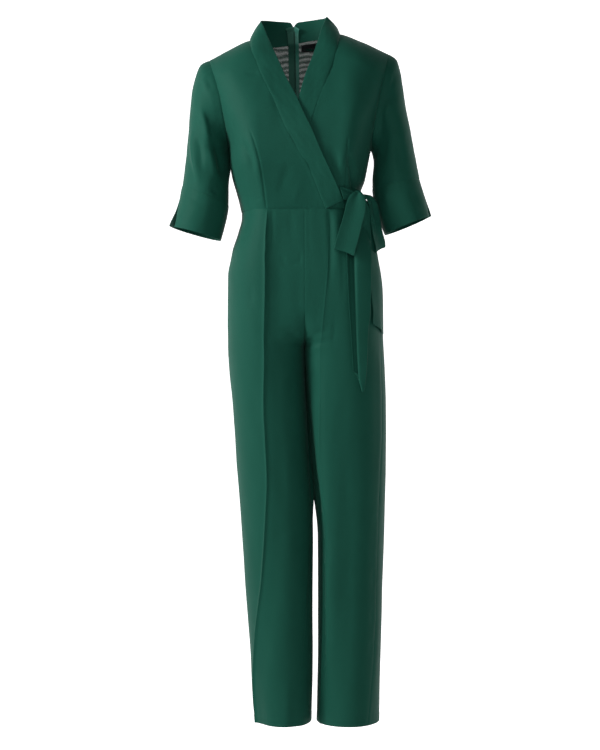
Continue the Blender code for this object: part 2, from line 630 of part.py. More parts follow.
def build():
    for obj in list(bpy.data.objects):
        bpy.data.objects.remove(obj)
    crepe = cloth_material("crepe", (0.020, 0.085, 0.064), 0.72)
    tape = cloth_material("zip_tape", (0.030, 0.072, 0.058), 0.7)
    metal = cloth_material("zip_metal", (0.028, 0.075, 0.060), 0.35)
    label = cloth_material("label", (0.016, 0.018, 0.020), 0.6)

    for left in (False, True):
        hand = "left" if left else "right"
        for side, p in (("front", front_panel(left)), ("back", back_panel(left))):
            d = p[-2] - p[-1]
            p[-1] += d / np.linalg.norm(d, axis=1, keepdims=True) * 0.7
            sheet("bodice_%s_%s" % (side, hand), p, WALL, crepe)
        p = collar_band(left)
        d = p[:, 1] - p[:, 0]
        p[:, 0] += d / np.linalg.norm(d, axis=1, keepdims=True) * 1.0
        sheet("collar_" + hand, p, WALL, crepe, inset=0.4)

        sleeve = SLEEVE_LEFT if left else SLEEVE_RIGHT
        turn = np.linspace(0, 360, 16, endpoint=False)[None, :]
        n = np.array([0.0, 0.6, 1.3, 2.2, 3.4, 5, 6.98])[:, None]
        p = sleeve_point(sleeve, turn, n)
        first = p[1] - p[0]
        p[0] += first / np.linalg.norm(first, axis=1, keepdims=True) * 1.3
        p[0, :, 0] += (1 if left else -1) * 2.0 * np.clip(np.cos(np.radians(turn[0])), 0, 1)
        sheet("sleeve_" + hand, p, WALL, crepe, closed=True, inset=0)

        # the cuff is slit on its outer side, from a third of the way down
        turn = np.linspace(183.5, 540 - 3.5, 19)
        stations = [7.01, 7.9, 8.8, 10]
        p = np.array([[sleeve_point(sleeve, t, k) for t in turn] for k in stations])
        closed_turn = turn.copy()
        closed_turn[0] = closed_turn[-1] = 180.0
        top = np.array([[sleeve_point(sleeve, t, k) for t in closed_turn] for k in stations])
        p[:2] = top[:2]
        verts = p.reshape(-1, 3)
        faces = grid_faces(4, 19)
        weld = {18: 0, 19 + 18: 19}
        faces = [tuple(weld.get(i, i) for i in f) for f in faces]
        keep = sorted({i for f in faces for i in f})
        index = {old: new for new, old in enumerate(keep)}
        wall_mesh("cuff_" + hand, verts[keep], [tuple(index[i] for i in f) for f in faces], WALL, crepe)

        leg = LEG_LEFT if left else LEG_RIGHT
        z = np.array([-367.4, -390, -420, -455, -500, -545, -580, -605, -628, -641, -648,
                      -670, -710, -770, -850, -940, -1040, -1140, -1240, -1340, HEM_Z])[:, None]
        s = np.linspace(0, 1, 10)[None, :]
        a, b = leg("side_seam", z), leg("inseam", z)
        crease = CREASE_LEFT if left else CREASE_RIGHT
        c, part = crease("turn", z), np.linspace(0, 1, 6)[None, :]
        turn = np.concatenate([a + (c - a) * part[:, :-1] ** .9, c + (b - c) * part ** 1.1], 1)
        p = leg_point(leg, turn, z)
        p[:, 5] = on_leg(leg, c[:, 0], z[:, 0], crease("proud", z[:, 0]))
        sheet("trouser_front_" + hand, p, WALL, crepe, ends=False)
        a2 = a + (360 if a[0, 0] < 0 else -360)
        b = b + (a2 - b) * 1e-5          # just past straight inward: the back
        sheet("trouser_back_" + hand, leg_point(leg, b + (a2 - b) * s, z), WALL, crepe, ends=False)

        sheet("zip_tape_" + hand, zip_tape(left), 0.8, tape, inset=0)

    sheet("tie_lead", ribbon(TIE_LEAD, "upright"), TIE_WALL, crepe, inset=0)
    block("tie_knot", (110, -101, -349), (127.5, -79, -327), crepe, bevel=5.0)
    sheet("tie_loop_front", ribbon(TIE_LOOP_FRONT), TIE_WALL, crepe, inset=0)
    sheet("tie_loop_side", ribbon(TIE_LOOP_SIDE, "turned"), TIE_WALL, crepe, inset=0)
    sheet("tie_tail_front", tail(TAIL_FRONT), TIE_WALL, crepe, inset=0)
    sheet("tie_tail_side", tail(TAIL_SIDE), TIE_WALL, crepe, inset=0)

    x = float(CENTRE_BACK("x", SLIDER_Z))
    slider(x, metal)
    pull_tab("zip_pull", x, SLIDER_Y + 2.85, HINGE_Z, 22.0, metal)

    s = np.linspace(0, 1, 6)
    rows = []
    for low in (1, 0):
        px = 3 + 33 * s
        pz = -4.5 + 3.5 * s - 13 * low - 1.5 * low * s
        rows.append(np.stack([px, torso_y(px, pz, 1) - 2.5, pz], -1))
    rows = np.array(rows)
    sheet("neck_label", rows, 0.5, label, inset=0)


build()
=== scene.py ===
"""Looks of the wrap-front jumpsuit: thin crepe shells on the garment's own
form, with its seams, darts, pressed creases, folds, bow, zip and label.

Tables are in millimetres in the model's frame; meshes are in metres.
"""
import math

import bpy
import numpy as np
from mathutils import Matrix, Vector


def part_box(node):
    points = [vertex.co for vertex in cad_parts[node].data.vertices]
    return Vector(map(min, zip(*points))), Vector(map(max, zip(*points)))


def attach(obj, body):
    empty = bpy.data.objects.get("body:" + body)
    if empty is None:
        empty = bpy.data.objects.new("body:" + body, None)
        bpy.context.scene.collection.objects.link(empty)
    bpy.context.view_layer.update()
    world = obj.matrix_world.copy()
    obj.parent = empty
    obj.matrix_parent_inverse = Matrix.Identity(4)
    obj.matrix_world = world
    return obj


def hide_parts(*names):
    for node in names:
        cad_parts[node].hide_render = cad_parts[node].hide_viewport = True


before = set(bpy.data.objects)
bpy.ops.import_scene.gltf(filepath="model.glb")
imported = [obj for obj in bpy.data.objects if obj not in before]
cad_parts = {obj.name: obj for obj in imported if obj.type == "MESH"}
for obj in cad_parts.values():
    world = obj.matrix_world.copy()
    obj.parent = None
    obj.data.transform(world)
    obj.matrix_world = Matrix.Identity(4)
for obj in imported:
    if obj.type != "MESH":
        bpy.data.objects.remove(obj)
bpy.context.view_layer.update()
FINE = 1.0       # mesh fineness while trying things
MM = 0.001

# ------------------------------------------------------------------ sizes
WALL = 1.4          # cloth wall
TIE_WALL = 2.0      # the tie is a flattened tube, two cloths thick
SEAM = 0.16         # each panel stops this far short of its seam line
ROUND = 62.0        # how far down the cloth rounds over the shoulder
SQUARE = 2.1        # superellipse power of the torso sections
UNDER = 4.6         # how far the under front lies inside the over front
WAIST_Z = -367.0
UNDERARM_Z = -234.0
CROTCH_Z = -648.0
HEM_Z = -1433.0
CENTRE_X = 10.0     # middle of the hips


class Table:
    """Rows of named columns; every column is a smooth curve over the first."""

    def __init__(self, names, rows):
        names = names.split()
        data = np.array(rows, float)
        data = data[np.argsort(data[:, 0])]
        self.key = data[:, 0]
        self.col = {n: data[:, i] for i, n in enumerate(names)}
        self.slope = {n: self._slopes(c) for n, c in self.col.items()}

    def _slopes(self, c):
        h = np.diff(self.key)
        d = np.diff(c) / h
        m = np.zeros(len(c))
        if len(c) == 2:
            return np.full(2, d[0])
        for i in range(1, len(c) - 1):
            if d[i - 1] * d[i] > 0:
                w1, w2 = 2 * h[i] + h[i - 1], h[i] + 2 * h[i - 1]
                m[i] = (w1 + w2) / (w1 / d[i - 1] + w2 / d[i])
        m[0], m[-1] = d[0], d[-1]
        return m

    def __call__(self, name, k):
        k = np.clip(np.asarray(k, float), self.key[0], self.key[-1])
        i = np.clip(np.searchsorted(self.key, k) - 1, 0, len(self.key) - 2)
        h = self.key[i + 1] - self.key[i]
        t = (k - self.key[i]) / h
        c, m = self.col[name], self.slope[name]
        return ((2 * t**3 - 3 * t**2 + 1) * c[i] + (t**3 - 2 * t**2 + t) * h * m[i]
                + (3 * t**2 - 2 * t**3) * c[i + 1] + (t**3 - t**2) * h * m[i + 1])


def smooth(t):
    t = np.clip(t, 0.0, 1.0)
    return t * t * (3 - 2 * t)


# ------------------------------------------------------------- torso form
# half widths to the wearer's right and left, depth of the front and back
# from the side seams, and the half width of the flatter middle
TORSO = Table("z right left front back flat", [
    (-372, 121.5, 121.5, 98, 88, 62),
    (-340, 129, 124, 106, 90, 65),
    (-319, 135, 128, 112, 92, 68),
    (-298, 141, 134, 119, 94, 72),
    (-270, 146, 140, 128, 97, 78),
    (-234, 148, 147.5, 132, 100, 82),
    (-180, 166, 164, 126, 103, 84),
    (-120, 187, 184, 109, 103, 84),
    (-60, 205, 202, 86, 93, 80),
    (0, 216, 212, 68, 79, 76),
    (40, 222, 218, 60, 71, 72)])

# top line of the shoulders, right to left
SHOULDER = Table("x z", [
    (-205, -56), (-191, -48), (-150, -27), (-105, -6), (-88, -3), (-66, 3),
    (-42, 12), (-14, 20), (18, 20), (50, 15), (70, 10), (84, 8), (130, -9),
    (187, -35), (202, -43)])

ARMHOLE_RIGHT = Table("f x_front x_back z", [
    (0.0, -148, -148, -234), (0.12, -150, -152, -220), (0.35, -158, -164, -176),
    (0.6, -168, -176, -124), (0.82, -181, -186, -80), (1.0, -191, -191, -48)])
ARMHOLE_LEFT = Table("f x_front x_back z", [
    (0.0, 147.5, 147.5, -234), (0.12, 149, 151, -218), (0.35, 157, 163, -170),
    (0.6, 168, 175, -115), (0.82, 179, 184, -66), (1.0, 187, 187, -35)])

# seam between front and collar band, and the band's free edge
SEAM_RIGHT = Table("z x", [
    (-367, 53), (-281, 16), (-237, -12), (-195, -33), (-145, -53), (-106, -72),
    (-62, -91), (-32, -101), (-6, -105)])
SEAM_LEFT = Table("z x", [
    (-367, -52), (-290, -22), (-236, 2), (-197, 20), (-176, 26.5), (-140, 39),
    (-88, 59.5), (-42, 74.5), (8, 84)])
NECK_BACK_RIGHT = Table("x z", [(-105, -6), (-92, -9), (-70, -11), (-42, -8), (-13.7, -3)])
NECK_BACK_LEFT = Table("x z", [(-13.7, -3), (18, 3), (50, 6), (72, 8), (84, 8)])

CENTRE_BACK = Table("z x", [(-700, 9), (-560, 9), (-460, 6), (-367, 1), (-250, -6), (-150, -8.6), (-8, -11), (45, -13.7)])


def torso_y(x, z, side):
    """Depth of the torso's cloth at x, z; side is -1 for front, +1 for back."""
    x, z = np.asarray(x, float), np.asarray(z, float)
    half = np.where(x < 0, TORSO("right", z), TORSO("left", z))
    flat = TORSO("flat", z)
    depth = TORSO("front" if side < 0 else "back", z)
    q = np.clip((np.abs(x) - flat) / (half - flat), 0, 1)
    body = depth * (1 - q**SQUARE) ** (1 / SQUARE)
    t = np.clip((SHOULDER("z", x) - z) / ROUND, 0, 1)
    return side * body * np.sqrt(1 - (1 - t) ** 2) + 5 * (1 - t) ** 2


def armhole(table, f, side):
    x = table("x_front" if side < 0 else "x_back", f)
    z = table("z", f)
    return np.stack([x, torso_y(x, z, side), z], -1)


# --------------------------------------------------------- trousers form
# where each leg's section is widest outward, foremost, innermost, rearmost;
# turn is how far the leg's seams are turned from straight ahead (degrees)
LEG_RIGHT = Table("z side foremost rearmost front back in_front in_back side_seam inseam", [
    (-367, -121.5, -62, -55, 98, 88, 98, 88, -88, 90),
    (-382, -122, -63, -56, 98.5, 89, 98.5, 89, -86, 90),
    (-403, -127, -65, -58, 100, 92, 100, 92, -84, 90),
    (-425, -134, -67, -60, 103, 97, 103, 97, -82, 90),
    (-445, -141, -68, -62, 105, 102, 105, 102, -81, 90),
    (-466, -145, -70, -65, 107, 108, 107, 108, -80, 90),
    (-498, -151, -70, -68, 109, 116, 109, 116, -79, 90),
    (-560, -151.5, -70, -70, 109, 122, 109, 122, -79, 90),
    (-600, -151.5, -70, -70, 107, 120, 98, 102, -80, 90),
    (-628, -151, -70, -70, 105, 114, 72, 70, -82, 90),
    (-648, -151, -69, -70, 104, 108, 0, 8, -84, 90),
    (-700, -148, -66, -68, 100, 99, -4, 4, -90, 89),
    (-760, -142, -63, -66, 96, 93, -5, 5, -94, 87),
    (-830, -136.5, -59, -60, 91, 89, -5, 5, -98, 84),
    (-900, -132, -55, -56, 87, 86, -5, 5, -101, 80),
    (-970, -126.5, -50, -51, 83, 84, -5, 5, -105, 75),
    (-1050, -121, -46, -47, 80, 82, -5, 5, -110, 69),
    (-1130, -115.5, -43, -44, 79, 82, -5, 5, -117, 62),
    (-1210, -110, -40, -41, 78, 82, -5, 5, -127, 52),
    (-1290, -103.5, -37, -38, 77, 81, -5, 5, -138, 41),
    (-1370, -98.7, -35, -36, 77, 80, -5, 5, -148, 30),
    (-1433, -91.5, -33, -34, 76, 80, -5, 5, -154, 24)])
LEG_LEFT = Table("z side foremost rearmost front back in_front in_back side_seam inseam", [
    (-367, 121.5, 62, 55, 98, 88, 98, 88, 88, -90),
    (-382, 122.5, 64, 57, 98.5, 89, 98.5, 89, 86, -90),
    (-403, 130, 67, 60, 100, 92, 100, 92, 84, -90),
    (-425, 141, 70, 64, 103, 97, 103, 97, 82, -90),
    (-445, 150, 73, 68, 105, 102, 105, 102, 80, -90),
    (-466, 158, 76, 72, 107, 108, 107, 108, 78, -90),
    (-498, 166, 80, 78, 109, 116, 109, 116, 75, -90),
    (-560, 171.5, 84, 84, 109, 122, 109, 122, 71, -90),
    (-600, 173, 86, 86, 107, 120, 98, 102, 69, -90),
    (-628, 174, 87, 87, 105, 114, 72, 70, 67, -90),
    (-648, 175, 88, 88, 104, 108, 0, 8, 66, -90),
    (-700, 178, 92, 92, 101, 99, -4, 4, 63, -97),
    (-760, 180.5, 97, 97, 97, 93, -5, 5, 61, -106),
    (-830, 181, 99, 99, 92, 89, -5, 5, 60, -114),
    (-900, 180.5, 101, 101, 87, 86, -5, 5, 56, -120),
    (-970, 178.5, 105, 105, 83, 84, -5, 5, 53, -124),
    (-1050, 176, 107, 107, 80, 82, -5, 5, 52, -126),
    (-1130, 173.7, 106, 106, 79, 82, -5, 5, 51, -128),
    (-1210, 172, 105, 105, 78, 82, -5, 5, 51, -129),
    (-1290, 169, 103, 103, 77, 81, -5, 5, 49, -131),
    (-1370, 166.5, 101.5, 101.5, 77, 80, -5, 5, 43, -136),
    (-1433, 165.5, 100, 100, 76, 80, -5, 5, 37, -142)])
# pressed crease, running up into a pleat at the waist: where it lies round
# the leg (degrees from straight ahead) and how far it stands out
CREASE_RIGHT = Table("z turn proud", [
    (-1433, -72, 3), (-1370, -66, 3), (-1254, -48, 3), (-1128, -28, 3), (-983, -15, 3),
    (-900, -9.5, 3.5), (-800, -9, 4), (-648, -3, 4), (-500, -1, 4.5), (-367, -5, 2)])
CREASE_LEFT = Table("z turn proud", [
    (-1433, -62, 2.5), (-1254, -56, 2.5), (-983, -54, 2.5), (-800, -45, 2.5),
    (-648, -36, 2.5), (-500, -20, 3), (-367, -4, 2)])
INNER = Table("z right left", [
    (-1433, 25, 35), (-1250, 27, 37.5), (-1050, 27, 37.5), (-983, 26, 32.5),
    (-900, 20, 24.5), (-800, 14.5, 18.5), (-700, 9.6, 13.4), (-655, 8.9, 11.1),
    (-648, 9.0, 11.0), (-628, 9.0, 11.0), (-600, 9.0, 11.0), (-575, 9.0, 11.0),
    (-562, 9.8, 10.2), (-556, 10, 10), (-540, 10, 10), (-367, 9, 9)])


def leg_point(table, turn, z):
    """Point on a leg at height z.  turn is degrees from straight ahead,
    positive towards the wearer's left; above the crotch each leg's section
    is one half of the hips, open along the middle."""
    turn, z = np.broadcast_arrays(np.asarray(turn, float), np.asarray(z, float))
    left = table is LEG_LEFT
    inner = INNER("left" if left else "right", z)
    out = turn if left else -turn                 # +90 is outward, -90 inward
    out = (out + 180) % 360 - 180
    is_front = np.abs(out) <= 90.0005
    outward = out >= 0
    mid = np.where(is_front, table("foremost", z), table("rearmost", z))
    depth = np.where(is_front, -table("front", z), table("back", z))
    a = np.radians(np.where(is_front, np.abs(out), 180 - np.abs(out)))
    edge = np.where(outward, table("side", z), inner)
    side_y = 5 * smooth((-z - 600) / 60)
    end_y = np.where(outward, side_y,
                     np.where(is_front, -table("in_front", z), table("in_back", z)))
    x = mid + (edge - mid) * np.sin(a)
    y = end_y + (depth - end_y) * np.cos(a)
    return np.stack([x, y, z], -1)


# ------------------------------------------------------------ sleeve form
# outer and inner ends of each section as seen from the front, its half
# depth and how far forward its middle is
SLEEVE_RIGHT = Table("n ox oz ix iz deep fore own", [
    (0, -191, -48, -148, -235, 58, 0, 0.0),
    (1, -209, -60, -151.5, -243, 60, 0, 0.35),
    (2, -219, -82, -153.5, -252, 62, 0, 0.7),
    (3, -226, -114, -154.5, -265, 64, 1, 0.93),
    (4, -230.5, -156, -154, -282, 65, 2, 1.0),
    (5, -235.5, -212, -152, -304, 65, 4, 1.0),
    (6, -240, -264, -150, -328, 64, 6, 1.0),
    (7, -246, -313, -150, -352, 63, 8, 1.0),
    (8, -254, -345, -153.5, -379, 63, 10, 1.0),
    (9, -262, -372, -159.5, -403, 63, 12, 1.0),
    (10, -270.5, -397, -166, -426, 63, 14, 1.0)])
SLEEVE_LEFT = Table("n ox oz ix iz deep fore own", [
    (0, 187, -35, 147.5, -235, 58, 0, 0.0),
    (1, 203, -50, 151, -242, 60, 0, 0.35),
    (2, 210, -72, 153.5, -250, 62, 0, 0.7),
    (3, 215, -102, 155, -260, 64, 1, 0.93),
    (4, 221.5, -146, 154.5, -272, 65, 2, 1.0),
    (5, 232, -198, 153, -287, 65, 4, 1.0),
    (6, 241, -250, 152, -302, 64, 6, 1.0),
    (7, 250, -300, 152, -318, 63, 8, 1.0),
    (8, 257.5, -326, 155.5, -347, 63, 10, 1.0),
    (9, 264.5, -351, 165, -379, 63, 12, 1.0),
    (10, 270.5, -376, 178, -414, 63, 14, 1.0)])


def sleeve_point(table, turn, n):
    """Point on a sleeve: n counts sections from the armhole (0) to the hem
    (10); turn is degrees, 0 at the underarm, 90 in front, 180 outermost."""
    turn, n = np.broadcast_arrays(np.asarray(turn, float), np.asarray(n, float))
    a = np.radians(turn)
    hole = ARMHOLE_LEFT if table is SLEEVE_LEFT else ARMHOLE_RIGHT

    def section(k):
        ox, oz, ix, iz = (table(c, k) for c in ("ox", "oz", "ix", "iz"))
        u = (1 - np.cos(a)) / 2
        return np.stack([ix + (ox - ix) * u,
                         -table("fore", k) - table("deep", k) * np.sin(a),
                         iz + (oz - iz) * u], -1)

    f = (1 - np.cos(a)) / 2
    cut = np.where((np.sin(a) >= 0)[..., None], armhole(hole, f, -1), armhole(hole, f, 1))
    return section(n) + (cut - section(0 * n)) * (1 - table("own", n))[..., None]


# ---------------------------------------------------------------- bodice
# share of the way up each panel where its rows lie; closer over the shoulder
BODICE_ROWS = [0, .09, .2, .32, .42, .52, .62, .72, .81, .885, .94, .98, 1]


def outer_edge(side_x, hole, v, side):
    """Side seam up to the underarm, then the armhole, for share v."""
    v = np.asarray(v, float)
    turn = 0.40
    z_low = WAIST_Z + (UNDERARM_Z - WAIST_Z) * np.clip(v / turn, 0, 1)
    f = np.clip((v - turn) / (1 - turn), 0, 1)
    x_hole = hole("x_front" if side < 0 else "x_back", f)
    sign = 1 if hole is ARMHOLE_LEFT else -1
    x = np.where(v < turn, sign * TORSO(side_x, z_low), x_hole)
    z = np.where(v < turn, z_low, hole("z", f))
    return x, z


FRONT_SHARE = [0, .02, .0625, .125, .2125, .32, .45, .58, .725, .86, 1]


def front_panel(left, rows=BODICE_ROWS):
    seam = SEAM_LEFT if left else SEAM_RIGHT
    hole = ARMHOLE_LEFT if left else ARMHOLE_RIGHT
    v = np.array(rows)[:, None]
    ox, oz = outer_edge("left" if left else "right", hole, v, -1)
    iz = WAIST_Z + (seam.key[-1] - WAIST_Z) * v
    ix = seam("x", iz)
    q = np.array(FRONT_SHARE)[None, :]
    x, z = ox + (ix - ox) * q, oz + (iz - oz) * q
    straight = oz[-1] + (iz[-1] - oz[-1]) * q
    z = z + (SHOULDER("z", x) - straight) * v**6 * (v > .8)
    y = torso_y(x, z, -1)
    if left:
        y = y + under(x)
    return np.stack([x, y, z], -1)


def under(x):
    return UNDER * (1 - smooth((np.asarray(x, float) - 60) / 60))


def back_panel(left, rows=BODICE_ROWS):
    hole = ARMHOLE_LEFT if left else ARMHOLE_RIGHT
    neck = NECK_BACK_LEFT if left else NECK_BACK_RIGHT
    v = np.array(rows)[:, None]
    q = back_shares(left)[None, :]
    ox, oz = outer_edge("left" if left else "right", hole, v, 1)
    iz = WAIST_Z + (-3 - WAIST_Z) * v
    ix = CENTRE_BACK("x", iz) + 0 * iz
    x = ox + (ix - ox) * q
    z_line = oz + (iz - oz) * q
    neck_x, neck_z = (84, 8) if left else (-105, -6)
    # the top row follows the shoulder seam, then the back of the neck
    top = np.where(np.abs(x) > abs(neck_x), SHOULDER("z", x), neck("z", x))
    straight = hole("z", 1.0) + (-3 - hole("z", 1.0)) * q
    z = z_line + (top - straight) * v**3
    return np.stack([x, torso_y(x, z, 1), z], -1)


# ---------------------------------------------------------------- collar
# the free edge of each band from the wrap up to the shoulder, against the
# height of the seam beside it: x, z, and how far it stands off the front
EDGE_RIGHT = [
    ("z_seam", "x", "z", "off"),
    (-367, 87.5, -350, -5), (-330, 77, -324, -4), (-296, 62, -292, -3.5), (-262, 46, -260, -3),
    (-220, 27.5, -216, -3), (-181, 8, -175, -2), (-131, -15, -123, 2),
    (-95, -34.7, -85.5, 2), (-62, -50, -47, 1), (-36, -64, -15, 0), (-18, -73, 10, -41), (-6, -82, 34, -10)]
EDGE_LEFT = [
    ("z_seam", "x", "z", "off"),
    (-367, -86, -360, 6.5), (-320, -72, -312, 6.5), (-262, -47, -260, 6.5), (-220, -28, -216, 6.5),
    (-181, -12, -177, 6), (-148, -2, -142, 5), (-115, 6, -107, 4), (-70, 22.5, -62, 4),
    (-38, 37, -17, 2), (-8, 48, 22, -35), (8, 56.6, 43.5, -8)]
# then round the back of the neck, against the seam's x: x, y, z
ROUND_RIGHT = [
    ("x_seam", "x", "y", "z"),
    (-105, -82, -5, 34), (-92, -79, 22, 40), (-70, -62, 43, 43), (-42, -38, 56, 43.5), (-11, -13.9, 60, 42)]
ROUND_LEFT = [
    ("x_seam", "x", "y", "z"),
    (-11, -13.5, 60, 42), (18, 15, 56, 45), (50, 42, 44, 47), (72, 55, 25, 47), (84, 56.6, -3, 43.5)]
SHOULDER_SHARE = [0, .025, .085, .18, .29, .4]     # columns from armhole to neck
NECK_SHARE = [0, .15, .36, .58, .8, 1]             # columns round the neck


def back_shares(left):
    tip, neck, mid = (187, 84, -11) if left else (-191, -105, -11)
    k = (neck - tip) / (mid - tip)
    return np.array([k * a / .5 for a in SHOULDER_SHARE] + [k + (1 - k) * a for a in NECK_SHARE])


def collar_rails(left):
    seam = SEAM_LEFT if left else SEAM_RIGHT
    edge = [(r[0], r[1], float(torso_y(r[1], r[2], -1)) + r[3], r[2])
            for r in (EDGE_LEFT if left else EDGE_RIGHT)[1:]]
    edge = Table("z_seam x y z", edge)
    turn = Table("x_seam x y z", (ROUND_LEFT if left else ROUND_RIGHT)[1:])
    neck = NECK_BACK_LEFT if left else NECK_BACK_RIGHT
    a, b = [], []
    for z in WAIST_Z + (seam.key[-1] - WAIST_Z) * np.array(BODICE_ROWS):
        ax = float(seam("x", z))
        a.append((ax, float(torso_y(ax, z, -1)) + (float(under(ax)) if left else 0.0), z))
        b.append([float(edge(c, z)) for c in "xyz"])
    tip, first = (187, 84) if left else (-191, -105)
    for q in back_shares(left)[7:]:
        ax = tip + (-11 - tip) * q
        z = float(neck("z", ax))
        a.append((ax, float(torso_y(ax, z, 1)), z))
        b.append([float(turn(c, ax)) for c in "xyz"])
    return np.array(a), np.array(b)


def collar_band(left, across=4):
    a, b = collar_rails(left)
    d = b - a
    along = np.gradient(a, axis=0)
    n = np.cross(along, d)
    n /= np.linalg.norm(n, axis=1, keepdims=True)
    n *= np.where((n * (a - np.array([-10, 0, 0])) * [1, 1, 0]).sum(1) < 0, -1, 1)[:, None]
    s = np.linspace(0, 1, across)
    bulge = 3.0 * smooth(np.linalg.norm(a - a[-1], axis=1) / 60)[:, None, None]
    return (a[:, None] + d[:, None] * s[None, :, None]
            + n[:, None] * bulge * (4 * s * (1 - s))[None, :, None])


# ------------------------------------------------------------------- tie
TIE_LEAD = [
    ("x", "y", "z", "half", "lean"),
    (85.2, -109, -335.8, 13.5, 0.35), (90, -107, -336, 13, 0.25), (98, -102, -337, 10.5, 0.1), (108.6, -95, -338, 7.5, 0.0)]
TIE_LOOP_FRONT = [
    ("x", "y", "z", "half", "lean"),
    (118, -104.2, -337, 8.5, -0.1), (116, -108, -350, 14, -0.15), (113, -112, -370, 18.5, -0.22),
    (107.5, -117, -392, 20, -0.27), (97, -123, -430, 21, -0.3), (91, -127, -452, 21, -0.32),
    (90, -125, -458.5, 20.5, -0.32), (90.5, -119.5, -457, 20, -0.32), (96, -115, -436, 19.5, -0.3),
    (102, -109, -412, 19, -0.27), (108.5, -100, -385, 15, -0.25), (115.5, -86, -357, 6, -0.2)]
# the side loop is turned half away
TIE_LOOP_SIDE = [
    ("x", "y", "z", "half", "lean"),
    (131.6, -87, -338, 5.5, 0.3), (141, -80, -341, 11, 0.3), (149, -71, -351, 14, 0.25), (153.5, -64, -368, 16, 0.25),
    (156.5, -61, -393, 17, 0.25), (161, -59, -418, 17.5, 0.35), (166.5, -57, -440, 18, 0.4),
    (167, -55, -449, 18, 0.4), (162, -54.5, -446, 17.5, 0.4), (155.5, -56, -420, 17, 0.35),
    (150.5, -58, -394, 16, 0.25), (146.5, -64, -370, 14, 0.25), (139.5, -74, -357, 9, 0.3), (131, -83, -349, 5, 0.3)]
TAIL_FRONT = [      # turn round the leg of its back edge, fold and front edge
    ("z", "back_edge", "fold", "front_edge", "off"),
    (-366, 47, 52, 60, 9), (-400, 33, 39, 50, 9), (-455, 22, 31, 46, 6.5), (-520, 17, 27, 43, 5.2),
    (-590, 15, 25, 41, 5.2), (-655, 15, 25, 40, 5.2), (-700, 17, 24.5, 37, 5.2), (-738, 21.5, 25, 31, 5.2)]
TAIL_SIDE = [
    ("z", "front_edge", "middle", "back_edge", "off"),
    (-440, 52, 62, 72, 4.2), (-480, 47, 61, 76, 4), (-540, 45, 60, 77, 4), (-585, 45, 60, 77, 4),
    (-618, 46, 60, 76, 4)]


def ribbon(rows, lie="level"):
    """Strip along a line of sections: half is half its width, which runs
    level, upright or turned half away, tipped by lean."""
    out = []
    for x, y, z, half, lean in rows[1:]:
        w = np.array({"level": (1.0, 0.0, lean), "upright": (-lean, 0.0, 1.0),
                      "turned": (0.6, 0.8, lean)}[lie])
        w /= np.linalg.norm(w)
        c = np.array([x, y, z], float)
        out.append([c - w * half, c, c + w * half])
    return np.array(out)


def on_leg(table, turns, z, off):
    """Points of a leg moved straight out of the cloth by off."""
    p = leg_point(table, turns, z)
    across = leg_point(table, np.asarray(turns) + 2, z) - leg_point(table, np.asarray(turns) - 2, z)
    n = np.stack([-across[..., 1], across[..., 0], 0 * across[..., 0]], -1)
    n /= np.linalg.norm(n, axis=-1, keepdims=True)
    out = p - np.array([90.0 if table is LEG_LEFT else -60.0, 0, 0])
    n *= np.where((n[..., :2] * out[..., :2]).sum(-1) < 0, -1, 1)[..., None]
    return p + n * np.asarray(off)[..., None]


def tail(rows):
    out = []
    for z, a, b, c, off in rows[1:]:
        t = np.array([a, b, c], float)
        out.append(on_leg(LEG_LEFT, t, np.full(3, float(z)), np.full(3, float(off))))
    return np.array(out)


# ======================================================================
# Looks.  Everything below shapes the visible cloth on the form above.
# ======================================================================
THIN = 0.8           # visible cloth
BAND_THICK = 1.4     # doubled collar band


def count(length_mm, step=3.0):
    return max(5, int(round(length_mm / step * FINE)))


def norm(v):
    return v / np.maximum(np.linalg.norm(v, axis=-1, keepdims=True), 1e-9)


def grid_normals(p, closed=False):
    """Unit normals of a grid of points, out of the body."""
    if closed:
        du = np.roll(p, -1, 1) - np.roll(p, 1, 1)
    else:
        du = np.gradient(p, axis=1)
    return norm(np.cross(du, np.gradient(p, axis=0)))


def arc(p, axis):
    """Running length along a grid axis, in mm."""
    d = np.linalg.norm(np.diff(p, axis=axis), axis=-1)
    pad = [(0, 0), (0, 0)]
    pad[axis] = (1, 0)
    return np.cumsum(np.pad(d, pad), axis=axis)


def bell(d, width):
    return np.exp(-(d / width) ** 2)


# ---- soft unevenness: a few long waves of fixed directions and phases
def ripple(a, b, size_a, size_b, seed, octaves=4):
    """Smooth uneven field of about -1..1 over the plane of a and b (mm)."""
    rng = np.random.default_rng(seed)
    out, weight = 0.0, 0.0
    for k in range(octaves):
        f = 1.7**k
        for _ in range(4):
            t = rng.uniform(0, 2 * math.pi)
            ph = rng.uniform(0, 2 * math.pi)
            warp = 0.8 * np.sin(a / size_a * f * 0.7 + b / size_b * f * 0.6 + 5 * ph)
            out = out + np.sin(2 * math.pi * f * (np.cos(t) * a / size_a + np.sin(t) * b / size_b)
                               + ph + warp) / f
        weight += 2.0 / f
    return out / weight


def along_path(x, z, points):
    """Signed distance from a path and share of the way along it."""
    best = np.full(x.shape, 1e9)
    sign, share = np.ones(x.shape), np.zeros(x.shape)
    pts = np.array(points, float)
    seg = np.linalg.norm(np.diff(pts, axis=0), axis=1)
    total, run = seg.sum(), 0.0
    for (ax, az), (bx, bz), l in zip(pts[:-1], pts[1:], seg):
        t = np.clip(((x - ax) * (bx - ax) + (z - az) * (bz - az)) / l**2, 0, 1)
        d = np.hypot(x - ax - t * (bx - ax), z - az - t * (bz - az))
        s = np.sign((bx - ax) * (z - az) - (bz - az) * (x - ax))
        near = d < best
        best = np.where(near, d, best)
        sign = np.where(near, s, sign)
        share = np.where(near, (run + t * l) / total, share)
        run += l
    return best * sign, share


